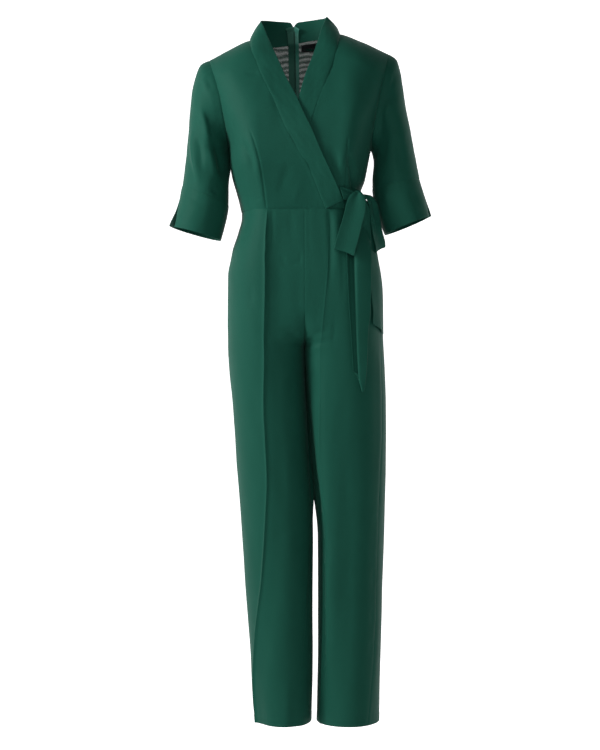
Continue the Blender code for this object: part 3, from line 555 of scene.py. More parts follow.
def smooth_path(points, n=24):
    """Points on a smooth curve through a fold's few points."""
    p = np.array(points, float)
    if len(p) < 3:
        return p
    k = np.concatenate([[0], np.cumsum(np.linalg.norm(np.diff(p, axis=0), axis=1))])
    t = Table("k x z", np.column_stack([k, p]))
    s = np.linspace(0, k[-1], n)
    return np.column_stack([t("x", s), t("z", s)])


def folds(x, z, rows):
    """Sum of folds.  Each row: points, height (+ ridge, - trough), width,
    where along it starts and ends fading (shares of its length), and skew,
    which makes one flank steeper."""
    out = np.zeros(x.shape)
    for points, height, width, fade_in, fade_out, skew in rows:
        d, share = along_path(x, z, smooth_path(points))
        lift = np.ones(x.shape)
        if fade_in > 0:
            lift = lift * smooth(share / fade_in + 1e-3)
        if fade_out > 0:
            lift = lift * smooth((1 - share) / fade_out + 1e-3)
        # beyond the ends the fold dies away within its own width
        w = np.where(d > 0, width * (1 + skew), width * (1 - skew))
        out += height * lift * bell(d, w)
    return out


# ------------------------------------------------------------- mesh maker
def crisp(p, axis, share=0.16):
    p = np.moveaxis(p, axis, 0)
    a = p[0] + (p[1] - p[0]) * share
    b = p[-1] + (p[-2] - p[-1]) * share
    p = np.concatenate([p[:1], a[None], p[1:-1], b[None], p[-1:]])
    return np.moveaxis(p, 0, axis)


def shell(name, p, wall, material, closed=False, rim=0.45, inner=None, flip=False, data=None):
    """Closed thin wall on a grid of points: outer skin, inner skin and a
    rounded rim.  p is rows x columns x 3 in mm."""
    n = grid_normals(p, closed)
    if flip:
        n = -n
    # a line of points close to every border keeps the edges crisp
    p, n = crisp(p, 0), crisp(n, 0)
    if not closed:
        p, n = crisp(p, 1), crisp(n, 1)
    n = norm(n)
    rows, cols = p.shape[:2]
    w = np.full((rows, cols, 1), float(wall)) / 2
    outer, inside = p + n * w, p - n * w
    idx = np.arange(rows * cols).reshape(rows, cols)
    total = rows * cols
    r0, c0 = np.arange(rows - 1), np.arange(cols if closed else cols - 1)
    a = idx[np.ix_(r0, c0)]
    b = idx[np.ix_(r0, (c0 + 1) % cols)]
    c = idx[np.ix_(r0 + 1, (c0 + 1) % cols)]
    d = idx[np.ix_(r0 + 1, c0)]
    quads = np.stack([a, b, c, d], -1).reshape(-1, 4)
    if flip:
        quads = quads[:, ::-1]
    back = quads[:, ::-1] + total
    verts = [outer.reshape(-1, 3), inside.reshape(-1, 3)]
    faces = [quads, back]
    skin = [np.zeros(len(quads), int), np.ones(len(back), int)]
    base = 2 * total
    # the rim runs round the grid once, or round both ends of a tube
    loops = []
    if closed:
        loops.append((idx[0], p[0] - p[1]))
        loops.append((idx[-1][::-1], (p[-1] - p[-2])[::-1]))
    else:
        edge = np.concatenate([idx[0, :-1], idx[:-1, -1], idx[-1, :0:-1], idx[:0:-1, 0]])
        out = np.concatenate([(p[0] - p[1])[:-1], (p[:, -1] - p[:, -2])[:-1],
                              (p[-1] - p[-2])[:0:-1], (p[:, 0] - p[:, 1])[:0:-1]])
        for corner, da, db in ((0, p[0, 0] - p[1, 0], p[0, 0] - p[0, 1]),
                               (cols - 1, p[0, -1] - p[1, -1], p[0, -1] - p[0, -2])):
            out[corner] = norm(da) + norm(db)
        loops.append((edge, out))
    for edge, out in loops:
        m = len(edge)
        flat = p.reshape(-1, 3)[edge]
        ww = (w * np.ones((rows, cols, 1))).reshape(-1, 1)[edge]
        verts.append(flat + norm(out) * ww * 2 * rim)
        i = np.arange(m)
        j = (i + 1) % m
        mid = base + i, base + j
        q1 = np.stack([edge[j], edge[i], mid[0], mid[1]], -1)
        q2 = np.stack([mid[1], mid[0], edge[i] + total, edge[j] + total], -1)
        if flip:
            q1, q2 = q1[:, ::-1], q2[:, ::-1]
        faces += [q1, q2]
        skin += [np.zeros(m, int), np.zeros(m, int)]
        base += m
    return mesh_from(name, np.concatenate(verts) * MM, np.concatenate(faces), material, inner,
                     np.concatenate(skin))


def mesh_from(name, verts, quads, material, inner=None, skin=None):
    name = name + "_cloth"
    mesh = bpy.data.meshes.new(name)
    mesh.vertices.add(len(verts))
    mesh.vertices.foreach_set("co", np.asarray(verts, np.float32).ravel())
    sides = quads.shape[1]
    mesh.loops.add(quads.size)
    mesh.loops.foreach_set("vertex_index", quads.astype(np.int32).ravel())
    mesh.polygons.add(len(quads))
    mesh.polygons.foreach_set("loop_start", np.arange(0, quads.size, sides, dtype=np.int32))
    mesh.polygons.foreach_set("loop_total", np.full(len(quads), sides, np.int32))
    mesh.update(calc_edges=True)
    mesh.validate()
    mesh.polygons.foreach_set("use_smooth", np.ones(len(mesh.polygons), bool))
    # faces must point out: check by signed volume
    v, q = np.asarray(verts, float), quads
    vol = 0.0
    for k in range(1, sides - 1):
        vol += (np.cross(v[q[:, 0]], v[q[:, k]]) * v[q[:, k + 1]]).sum()
    if vol < 0:
        mesh.flip_normals()
    mesh.materials.append(material)
    if inner is not None and skin is not None:
        mesh.materials.append(inner)
        mesh.polygons.foreach_set("material_index", skin.astype(np.int32))
    obj = bpy.data.objects.new(name, mesh)
    bpy.context.scene.collection.objects.link(obj)
    return obj


def finish_piece(obj, nodes, body="garment"):
    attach(obj, body)
    if nodes:
        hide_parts(*nodes)
    return obj


# -------------------------------------------------------------- materials
def new_material(name):
    m = bpy.data.materials.new(name)
    m.use_nodes = True
    tree = m.node_tree
    shader = tree.nodes["Principled BSDF"]
    return m, tree, shader


def link(tree, a, b):
    tree.links.new(a, b)


def crepe_material(name, dark, light, roughness=0.6, sheen=0.05, see=1.0):
    """Fine pebbled crepe: crinkled twist yarns, slightly uneven dye."""
    m, tree, shader = new_material(name)
    nodes = tree.nodes
    coord = nodes.new("ShaderNodeTexCoord")
    # uneven dye and handling, a hand's breadth across
    cloud = nodes.new("ShaderNodeTexNoise")
    cloud.inputs["Scale"].default_value = 9.0
    cloud.inputs["Detail"].default_value = 4.0
    link(tree, coord.outputs["Object"], cloud.inputs["Vector"])
    # the yarn's grain
    grain = nodes.new("ShaderNodeTexNoise")
    grain.inputs["Scale"].default_value = 900.0
    grain.inputs["Detail"].default_value = 2.0
    link(tree, coord.outputs["Object"], grain.inputs["Vector"])
    stretch = nodes.new("ShaderNodeMapping")
    stretch.inputs["Scale"].default_value = (1.0, 1.0, 0.35)
    link(tree, coord.outputs["Object"], stretch.inputs["Vector"])
    crinkle = nodes.new("ShaderNodeTexNoise")
    crinkle.inputs["Scale"].default_value = 420.0
    crinkle.inputs["Detail"].default_value = 3.0
    link(tree, stretch.outputs["Vector"], crinkle.inputs["Vector"])
    mix1 = nodes.new("ShaderNodeMath")
    mix1.operation = "MULTIPLY_ADD"
    mix1.inputs[1].default_value = 0.35
    link(tree, grain.outputs["Fac"], mix1.inputs[0])
    soft = nodes.new("ShaderNodeMath")
    soft.operation = "MULTIPLY"
    soft.inputs[1].default_value = 0.65
    link(tree, cloud.outputs["Fac"], soft.inputs[0])
    link(tree, soft.outputs[0], mix1.inputs[2])
    ramp = nodes.new("ShaderNodeMix")
    ramp.data_type = "RGBA"
    ramp.inputs["A"].default_value = (*dark, 1)
    ramp.inputs["B"].default_value = (*light, 1)
    link(tree, mix1.outputs[0], ramp.inputs["Factor"])
    link(tree, ramp.outputs["Result"], shader.inputs["Base Color"])
    rough = nodes.new("ShaderNodeMapRange")
    rough.inputs["To Min"].default_value = roughness - 0.06
    rough.inputs["To Max"].default_value = roughness + 0.08
    link(tree, crinkle.outputs["Fac"], rough.inputs["Value"])
    link(tree, rough.outputs["Result"], shader.inputs["Roughness"])
    add = nodes.new("ShaderNodeMath")
    add.operation = "MULTIPLY_ADD"
    add.inputs[1].default_value = 0.6
    link(tree, grain.outputs["Fac"], add.inputs[0])
    link(tree, crinkle.outputs["Fac"], add.inputs[2])
    bump = nodes.new("ShaderNodeBump")
    bump.inputs["Strength"].default_value = 0.35
    bump.inputs["Distance"].default_value = 0.0004
    link(tree, add.outputs[0], bump.inputs["Height"])
    link(tree, bump.outputs["Normal"], shader.inputs["Normal"])
    shader.inputs["Sheen Weight"].default_value = sheen
    shader.inputs["Sheen Roughness"].default_value = 0.45
    shader.inputs["Sheen Tint"].default_value = (0.45, 0.85, 0.72, 1)
    shader.inputs["Specular IOR Level"].default_value = 0.06
    if see < 1:
        # painted shade: crosswise bands below the neck, more see-through and less, stand in for the shading of the
        # wrinkles there
        band = nodes.new("ShaderNodeTexWave")
        band.bands_direction = "Z"
        for key, value in (("Scale", 29.0), ("Distortion", 5.0), ("Detail", 2.0), ("Detail Scale", 0.9)):
            band.inputs[key].default_value = value
        link(tree, coord.outputs["Object"], band.inputs["Vector"])
        split = nodes.new("ShaderNodeSeparateXYZ")
        link(tree, coord.outputs["Object"], split.inputs[0])
        near_neck = nodes.new("ShaderNodeMapRange")
        for key, value in (("From Min", -0.20), ("From Max", -0.10), ("To Min", 0.0), ("To Max", 0.15)):
            near_neck.inputs[key].default_value = value
        link(tree, split.outputs["Z"], near_neck.inputs["Value"])
        # the painted wrinkle bands die out towards the shoulders
        aside = nodes.new("ShaderNodeMath")
        aside.operation = "ABSOLUTE"
        link(tree, split.outputs["X"], aside.inputs[0])
        inner_part = nodes.new("ShaderNodeMapRange")
        for key, value in (("From Min", 0.05), ("From Max", 0.085), ("To Min", 1.0), ("To Max", 0.0)):
            inner_part.inputs[key].default_value = value
        link(tree, aside.outputs[0], inner_part.inputs["Value"])
        reach = nodes.new("ShaderNodeMath")
        reach.operation = "MULTIPLY"
        link(tree, near_neck.outputs["Result"], reach.inputs[0])
        link(tree, inner_part.outputs["Result"], reach.inputs[1])
        swing = nodes.new("ShaderNodeMath")
        swing.operation = "SUBTRACT"
        swing.inputs[1].default_value = 0.45
        link(tree, band.outputs["Fac"], swing.inputs[0])
        # the cloth's own see-through, with the painted wrinkle shade laid over it
        alpha_with_painted_wrinkle_shade = nodes.new("ShaderNodeMath")
        alpha_with_painted_wrinkle_shade.operation = "MULTIPLY_ADD"
        alpha_with_painted_wrinkle_shade.inputs[2].default_value = see
        alpha_with_painted_wrinkle_shade.use_clamp = True
        link(tree, swing.outputs[0], alpha_with_painted_wrinkle_shade.inputs[0])
        link(tree, reach.outputs[0], alpha_with_painted_wrinkle_shade.inputs[1])
        link(tree, alpha_with_painted_wrinkle_shade.outputs[0], shader.inputs["Alpha"])
    return m


DEEP, PALE = (0.0078, 0.066, 0.045), (0.0108, 0.086, 0.059)
CREPE = crepe_material("crepe_face", DEEP, PALE)
CREPE_BACK = crepe_material("crepe_reverse", DEEP, PALE, 0.66)
# one layer of the cloth, unlined, lets a little light through; near the neck its see-through also carries bands of
# painted wrinkle shade
CREPE_SHEER = crepe_material("crepe_single", DEEP, PALE, 0.66, see=0.80)


def plain_cloth(name, colour, roughness, scale):
    m, tree, shader = new_material(name)
    nodes = tree.nodes
    coord = nodes.new("ShaderNodeTexCoord")
    wave = nodes.new("ShaderNodeTexWave")
    wave.bands_direction = "Z"
    wave.inputs["Scale"].default_value = scale
    wave.inputs["Distortion"].default_value = 0.6
    link(tree, coord.outputs["Object"], wave.inputs["Vector"])
    mix = nodes.new("ShaderNodeMix")
    mix.data_type = "RGBA"
    mix.inputs["A"].default_value = (*[c * 0.82 for c in colour], 1)
    mix.inputs["B"].default_value = (*colour, 1)
    link(tree, wave.outputs["Fac"], mix.inputs["Factor"])
    link(tree, mix.outputs["Result"], shader.inputs["Base Color"])
    bump = nodes.new("ShaderNodeBump")
    bump.inputs["Strength"].default_value = 0.3
    bump.inputs["Distance"].default_value = 0.0002
    link(tree, wave.outputs["Fac"], bump.inputs["Height"])
    link(tree, bump.outputs["Normal"], shader.inputs["Normal"])
    shader.inputs["Roughness"].default_value = roughness
    return m


TAPE = plain_cloth("tape_weave", (0.022, 0.135, 0.095), 0.75, 500.0)
# the same tape on the wearer's left, a little smoother, its colour made much lighter as a painted highlight
TAPE_PAINTED_HIGHLIGHT = plain_cloth("tape_painted_highlight", (0.060, 0.300, 0.225), 0.5, 500.0)
LABEL = plain_cloth("label_weave", (0.018, 0.020, 0.024), 0.5, 900.0)


def enamel(name, colour):
    m, tree, shader = new_material(name)
    nodes = tree.nodes
    coord = nodes.new("ShaderNodeTexCoord")
    n = nodes.new("ShaderNodeTexNoise")
    n.inputs["Scale"].default_value = 300.0
    link(tree, coord.outputs["Object"], n.inputs["Vector"])
    r = nodes.new("ShaderNodeMapRange")
    r.inputs["To Min"].default_value = 0.28
    r.inputs["To Max"].default_value = 0.42
    link(tree, n.outputs["Fac"], r.inputs["Value"])
    link(tree, r.outputs["Result"], shader.inputs["Roughness"])
    shader.inputs["Base Color"].default_value = (*colour, 1)
    shader.inputs["Coat Weight"].default_value = 0.4
    return m


ENAMEL = enamel("enamel", (0.020, 0.085, 0.066))


# ------------------------------------------------------------ edge finish
def seam_dip(d, depth=0.5, width=2.2):
    """Cloth dips into a seam: d is the distance from it in mm."""
    return -depth * bell(d, width)


def pucker(d, run, seed, height=0.28, reach=9.0, pitch=11.0):
    """Small uneven gathers along a stitched line."""
    return height * np.exp(-np.abs(d) / reach) * ripple(run, 0 * run, pitch, pitch, seed, 2)


def edges_of(p):
    """Distance of every grid point from the four sides of its panel."""
    u, v = arc(p, 1), arc(p, 0)
    return u, u[:, -1:] - u, v, v[-1:] - v


# ---------------------------------------------------------------- bodice
FRONT_RIGHT_FOLDS = [
    # points, height, width, fade in, fade out, skew
    ([(-104, -205), (-92, -236), (-78, -297), (-69, -366)], -1.3, 1.9, .12, 0, 0),
    ([(-108, -212), (-97, -240), (-84, -297), (-76, -362)], 0.9, 7.0, .2, .1, 0),
    ([(-121, -224), (-106, -255), (-94, -284), (-86, -300)], -4.2, 9.0, .4, .4, .2),
    ([(-112, -215), (-97, -250), (-86, -290), (-80, -330)], 1.8, 7.0, .4, .5, 0),
    ([(-134, -236), (-124, -268), (-112, -310)], 1.6, 9.0, .4, .5, 0),
    ([(-119, -87), (-98, -90), (-78, -89)], -1.1, 4.5, .4, .4, .2),
    ([(-60, -120), (-68, -170), (-76, -215)], 1.5, 22.0, .5, .5, 0),
    ([(-168, -120), (-140, -160), (-118, -205)], 1.2, 12.0, .4, .5, 0),
    ([(-20, -262), (-30, -300), (-44, -352)], -1.4, 12.0, .4, .4, .2),
    ([(10, -298), (-4, -330), (-16, -362)], 1.0, 9.0, .4, .3, 0),
    ([(-116, -330), (-95, -345), (-70, -352)], -1.0, 6.0, .4, .4, 0),
    ([(-150, -70), (-130, -110), (-122, -150)], 0.9, 14.0, .4, .5, 0),
]
FRONT_LEFT_FOLDS = [
    ([(98, -220), (96, -247), (94, -290), (92, -366)], -1.3, 1.9, .12, 0, 0),
    ([(99, -252), (102, -275), (106, -296), (113, -332)], -7.0, 7.0, .3, .1, .25),
    ([(112, -262), (115, -290), (119, -330)], 2.2, 7.0, .4, .2, 0),
    ([(84, -250), (86, -285), (92, -325)], 2.4, 9.0, .4, .3, 0),
    ([(157, -193), (137, -255), (127, -330)], 2.6, 8.0, .35, .2, .2),
    ([(60, -230), (72, -280), (92, -322)], -1.6, 9.0, .4, .3, .2),
    ([(120, -120), (110, -170), (104, -215)], 1.4, 20.0, .5, .5, 0),
    ([(160, -110), (140, -150), (122, -200)], 1.2, 12.0, .4, .5, 0),
    ([(90, -60), (100, -110), (106, -150)], 0.9, 14.0, .4, .5, 0),
]
BACK_RIGHT_FOLDS = [
    ([(-62, -215), (-60, -290), (-56, -366)], -1.4, 3.2, .2, 0, 0),
    ([(-30, -70), (-60, -78), (-92, -70)], -1.5, 6.0, .3, .4, .2),
    ([(-16, -92), (-55, -101), (-98, -96)], 1.2, 7.0, .3, .4, .2),
    ([(-40, -128), (-80, -134), (-120, -122)], -1.2, 8.0, .3, .4, .2),
    ([(-110, -150), (-100, -220), (-104, -290)], 1.6, 13.0, .4, .4, 0),
    ([(-20, -318), (-50, -338), (-84, -342)], -1.8, 6.0, .3, .4, .2),
    ([(-16, -286), (-44, -304), (-76, -306)], 1.3, 7.0, .3, .4, 0),
    ([(-130, -180), (-126, -240), (-120, -320)], -1.5, 10.0, .4, .4, 0),
]
for _i, (_z, _h, _t) in enumerate([(-9, 1.1, 2), (-20, 1.7, -2), (-28, 1.0, 1), (-38, 1.9, -3), (-46, 1.2, 2), (-56, 1.8, 1),
                                  (-64, 1.1, -2), (-75, 1.6, 3), (-84, 1.0, 0), (-96, 1.4, -2), (-110, 1.0, 2)]):
    BACK_RIGHT_FOLDS.append(([(-17, _z), (-38, _z - _t), (-62 - 7 * (_i % 3), _z + _t)], -_h, 2.7, .15, .5, .15 * (-1) ** _i))
BACK_LEFT_FOLDS = [
    ([(50, -215), (54, -290), (57, -366)], -1.4, 3.2, .2, 0, 0),
    ([(14, -60), (44, -72), (78, -66)], -1.4, 6.0, .3, .4, .2),
    ([(2, -88), (38, -98), (84, -88)], 1.3, 7.0, .3, .4, .2),
    ([(14, -120), (56, -130), (104, -116)], -1.3, 8.0, .3, .4, .2),
    ([(96, -146), (92, -214), (100, -280)], 1.6, 13.0, .4, .4, 0),
    ([(10, -322), (44, -340), (88, -338)], -1.9, 6.0, .3, .4, .2),
    ([(8, -294), (40, -308), (78, -300)], 1.2, 7.0, .3, .4, 0),
    ([(124, -176), (122, -240), (116, -318)], -1.5, 10.0, .4, .4, 0),
]


for _i, (_z, _h, _t) in enumerate([(-14, 1.5, 2), (-24, 1.1, -2), (-33, 1.8, -3), (-43, 1.1, 1), (-52, 1.7, 2), (-61, 1.2, -1),
                                  (-71, 1.6, 2), (-81, 1.0, -2), (-92, 1.4, 2), (-105, 1.0, 0)]):
    BACK_LEFT_FOLDS.append(([(-7, _z), (16, _z + _t), (44 + 8 * (_i % 3), _z - _t)], -_h, 2.7, .15, .5, .15 * (-1) ** _i))


def fine_rows(n, crowd=0.0):
    """Shares 0..1, closer together towards 1 by crowd."""
    s = np.linspace(0, 1, n)
    return s + crowd * (np.sin(s * math.pi / 2) - s)


def meet_seams(p, left):
    """Draw a panel's outer edge onto the line it shares with the sleeve and
    the other panel, easing the cloth beside it."""
    ring = sleeve_point(SLEEVE_LEFT if left else SLEEVE_RIGHT,
                        np.linspace(0, 360, 1440, endpoint=False)[None], np.array([[0.0]]))[0]
    edge = p[:, 0]
    target = edge * [1, 0, 1]
    for i in np.nonzero(edge[:, 2] > UNDERARM_Z)[0]:
        target[i] = ring[np.linalg.norm(ring - edge[i], axis=1).argmin()]
    d = arc(p, 1)
    return p + (target - edge)[:, None] * (bell(d, 20) * (1 - smooth(d / 60)))[..., None]


def meet_waist(p, left, side):
    """Ease a bodice panel's lower edge onto the top of the trousers."""
    leg = LEG_LEFT if left else LEG_RIGHT
    ring = leg_point(leg, np.linspace(-179.5, 179.5, 2000)[None], np.array([[-367.0]]))[0]
    ring = ring[ring[:, 1] * side > 0]
    other = leg_point(LEG_RIGHT if left else LEG_LEFT, np.linspace(-179.5, 179.5, 2000)[None], np.array([[-367.0]]))[0]
    ring = np.concatenate([ring, other[other[:, 1] * side > 0]])
    ring = ring[np.argsort(ring[:, 0])]
    x = p[0, :, 0]
    shift = np.interp(x, ring[:, 0], ring[:, 1]) - p[0, :, 1]
    # where the wrap lies over another layer it stays in front
    shift = np.clip(shift, -4.0, 4.0) + side * 0.0
    low = arc(p, 0)
    p = p.copy()
    p[..., 1] += shift[None] * bell(low, 34) * (1 - smooth(low / 110))
    return p


def build_bodice():
    rows = fine_rows(count(400, 2.0), 0.85)
    for left in (False, True):
        hand = "left" if left else "right"
        # ---- front
        global FRONT_SHARE
        FRONT_SHARE = 1 - np.cos(np.linspace(0, 1, count(250, 1.9)) * math.pi / 2)
        p = meet_seams(front_panel(left, rows), left)
        if not left:
            p = meet_waist(p, left, -1)
        n = grid_normals(p)
        n = n * np.sign((n[..., 1:2] * -1).sum())
        x, z = p[..., 0], p[..., 2]
        out_d, in_d, low_d, top_d = edges_of(p)
        lift = folds(x, z, FRONT_LEFT_FOLDS if left else FRONT_RIGHT_FOLDS)
        lift += 0.9 * ripple(x, z, 150, 210, 11 + left)
        lift *= smooth(out_d / 12) * smooth(in_d / 10) * smooth((low_d + 1.5) / 8) * smooth(top_d / 10)
        # no waist seam shows on the side panel, outside the dart
        low_seam = smooth((x + 74) / 8) if not left else 1.0
        lift += seam_dip(out_d, 0.7) + seam_dip(in_d, 0.3, 1.8) + seam_dip(top_d, 0.4) + seam_dip(low_d, 0.7) * low_seam
        lift += pucker(low_d, x, 5, 0.2) * low_seam + pucker(out_d, z, 7, 0.15) + pucker(in_d, z, 9, 0.12, 8, 14)
        p = p + n * lift[..., None]
        obj = shell("bodice_front_" + hand, p, THIN, CREPE, inner=CREPE_BACK, flip=flip_of(p, (0, -1, 0)))
        finish_piece(obj, ["bodice_front_" + hand])
        # ---- back
        q = np.linspace(0, 1, count(230, 2.9))
        q = 1 - np.cos(q * math.pi / 2) * 0.75 - 0.25 * (1 - q)
        q = q - q[0]
        q /= q[-1]
        p = meet_waist(meet_seams(back_grid(left, fine_rows(count(400, 2.6), 0.85), q), left), left, 1)
        n = grid_normals(p)
        n = n * np.sign(n[..., 1:2].sum())
        x, z = p[..., 0], p[..., 2]
        out_d, in_d, low_d, top_d = edges_of(p)
        lift = folds(x, z, BACK_LEFT_FOLDS if left else BACK_RIGHT_FOLDS)
        lift += 0.9 * ripple(x, z, 150, 190, 21 + left)
        lift *= smooth(out_d / 12) * smooth(in_d / 10) * smooth((low_d + 1.5) / 8) * smooth(top_d / 8)
        lift += seam_dip(out_d, 0.7) + seam_dip(in_d, 0.6) + seam_dip(top_d, 0.3) + seam_dip(low_d, 0.7)
        lift += pucker(low_d, x, 15, 0.2) + pucker(in_d, z, 17, 0.3, 12, 16)
        p = p + n * lift[..., None]
        obj = shell("bodice_back_" + hand, p, THIN, CREPE_SHEER, inner=CREPE_SHEER, flip=flip_of(p, (0, 1, 0)))
        finish_piece(obj, ["bodice_back_" + hand])


def back_grid(left, rows, q):
    """back_panel with chosen columns."""
    global back_shares
    keep = back_shares
    back_shares = lambda _left: q
    p = back_panel(left, rows)
    back_shares = keep
    return p


def flip_of(p, out):
    """True where the grid's own normals point against out."""
    n = grid_normals(p)
    return bool((n * np.array(out, float)).sum() < 0)


# ---------------------------------------------------------------- collar
def build_collar():
    for left in (False, True):
        hand = "left" if left else "right"
        a, b = collar_rails(left)
        k = np.concatenate([[0], np.cumsum(np.linalg.norm(np.diff(a, axis=0), axis=1))])
        s = np.linspace(0, k[-1], count(k[-1], 2.6))
        ra, rb = Table("k x y z", np.column_stack([k, a])), Table("k x y z", np.column_stack([k, b]))
        a = np.stack([ra(c, s) for c in "xyz"], -1)
        b = np.stack([rb(c, s) for c in "xyz"], -1)
        d = b - a
        n = norm(np.cross(np.gradient(a, axis=0), d))
        n *= np.where((n * (a - np.array([-10, 0, 0])) * [1, 1, 0]).sum(1) < 0, -1, 1)[:, None]
        t = np.linspace(0, 1, count(58, 2.2))
        # a soft roll: fullest near the seam, easing to the folded edge
        roll = 3.0 * np.sin(np.pi * t ** 0.75) ** 0.9
        run = s[:, None] + 0 * t[None]
        across = 56 * t[None] + 0 * s[:, None]
        # it lies flat down the front and rolls at the neck
        up = smooth((a[:, 2] + 130) / 110)
        taper = (0.12 + 0.88 * up) * (0.3 + 0.7 * smooth((k[-1] - s) / 70))
        lift = roll[None] * taper[:, None]
        lift += 0.8 * ripple(run, across, 120, 70, 31 + left)
        lift += seam_dip(across, 0.35, 1.8) + pucker(across, run, 33, 0.15, 10, 15)
        # small creases where the band turns round the neck
        for at, high in ((k[-1] - 108, -1.6), (k[-1] - 84, 1.1), (k[-1] - 132, -1.0)):
            lift += high * bell(run + across * 0.35 - at - 10, 6) * smooth((56 - across) / 40)
        p = a[:, None] + d[:, None] * t[None, :, None] + n[:, None] * lift[..., None]
        # the two halves part above the zip, their corners rounded off
        back = np.clip(1 - (k[-1] - s) / 11.0, 0, 1)[:, None]
        p[..., 2] -= 7.0 * back ** 2 * t[None] ** 3
        p[..., 0] += (1 if left else -1) * 1.1 * back * smooth((t[None] - 0.35) / 0.5)
        obj = shell("collar_" + hand, p, BAND_THICK, CREPE, rim=0.5,
                    flip=bool((grid_normals(p) * n[:, None]).sum() < 0))
        finish_piece(obj, ["collar_" + hand])


# --------------------------------------------------------------- sleeves
SLEEVE_RIGHT_FOLDS = [
    ([(-226, -190), (-221, -252), (-213, -290), (-210, -322)], 3.0, 7.0, .3, .35, .2),
    ([(-207, -150), (-195, -192), (-188, -240)], 3.0, 7.0, .35, .4, -.2),
    ([(-216, -205), (-206, -245), (-202, -292)], -2.0, 7.0, .35, .4, 0),
    ([(-178, -215), (-166, -261), (-156, -310)], -4.0, 9.0, .3, .3, 0),
    ([(-190, -236), (-180, -270), (-172, -310)], 2.2, 8.0, .35, .4, 0),
    ([(-184, -323), (-176, -329), (-168, -333)], -1.2, 4.0, .35, .4, 0),
    ([(-192, -87), (-186, -104), (-179, -122)], -1.0, 5.0, .35, .4, 0),
    ([(-204, -86), (-198, -106), (-190, -128)], 0.9, 6.0, .35, .4, 0),
    ([(-232, -330), (-214, -350), (-190, -356)], -1.0, 7.0, .35, .4, 0),
]
SLEEVE_LEFT_FOLDS = [
    ([(172, -150), (165, -185), (160, -222)], -3.4, 9.0, .35, .3, 0),
    ([(194, -132), (178, -160), (172, -195)], 2.4, 9.0, .35, .4, .2),
    ([(203, -150), (214, -210), (226, -285)], 1.5, 14.0, .35, .4, 0),
    ([(180, -180), (172, -240), (166, -300)], -2.6, 10.0, .35, .4, 0),
    ([(196, -210), (206, -260), (214, -300)], -1.4, 9.0, .35, .4, 0),
    ([(166, -318), (180, -345), (186, -380)], 1.5, 8.0, .35, .4, 0),
    ([(225, -318), (236, -345), (250, -368)], -1.2, 7.0, .35, .4, 0),
    ([(196, -84), (190, -104), (184, -124)], -0.9, 5.0, .35, .4, 0),
]
SLEEVE_BACK_FOLDS = [       # on |x|, behind
    ([(205, -140), (195, -200), (190, -250)], 2.6, 9.0, .35, .4, 0),
    ([(178, -180), (172, -240), (168, -300)], -3.0, 9.0, .35, .4, 0),
    ([(222, -190), (226, -250), (232, -300)], -1.8, 9.0, .35, .4, 0),
    ([(190, -300), (206, -322), (226, -330)], -1.6, 6.0, .35, .4, 0),
    ([(186, -276), (206, -296), (228, -300)], 1.4, 7.0, .35, .4, 0),
]


def sleeve_lift(p, turn, left, seed):
    x, y, z = p[..., 0], p[..., 1], p[..., 2]
    a = np.radians(turn)
    front = smooth(np.sin(a) * 2.2 + 0.35)
    back = smooth(-np.sin(a) * 2.2 + 0.35)
    lift = 1.7 * folds(x, z, SLEEVE_LEFT_FOLDS if left else SLEEVE_RIGHT_FOLDS) * front
    lift += 1.4 * folds(np.abs(x), z, SLEEVE_BACK_FOLDS) * back
    lift += 0.9 * ripple(np.cos(a) * 60 + seed * 31, z + np.sin(a) * 60, 110, 150, seed)
    return lift


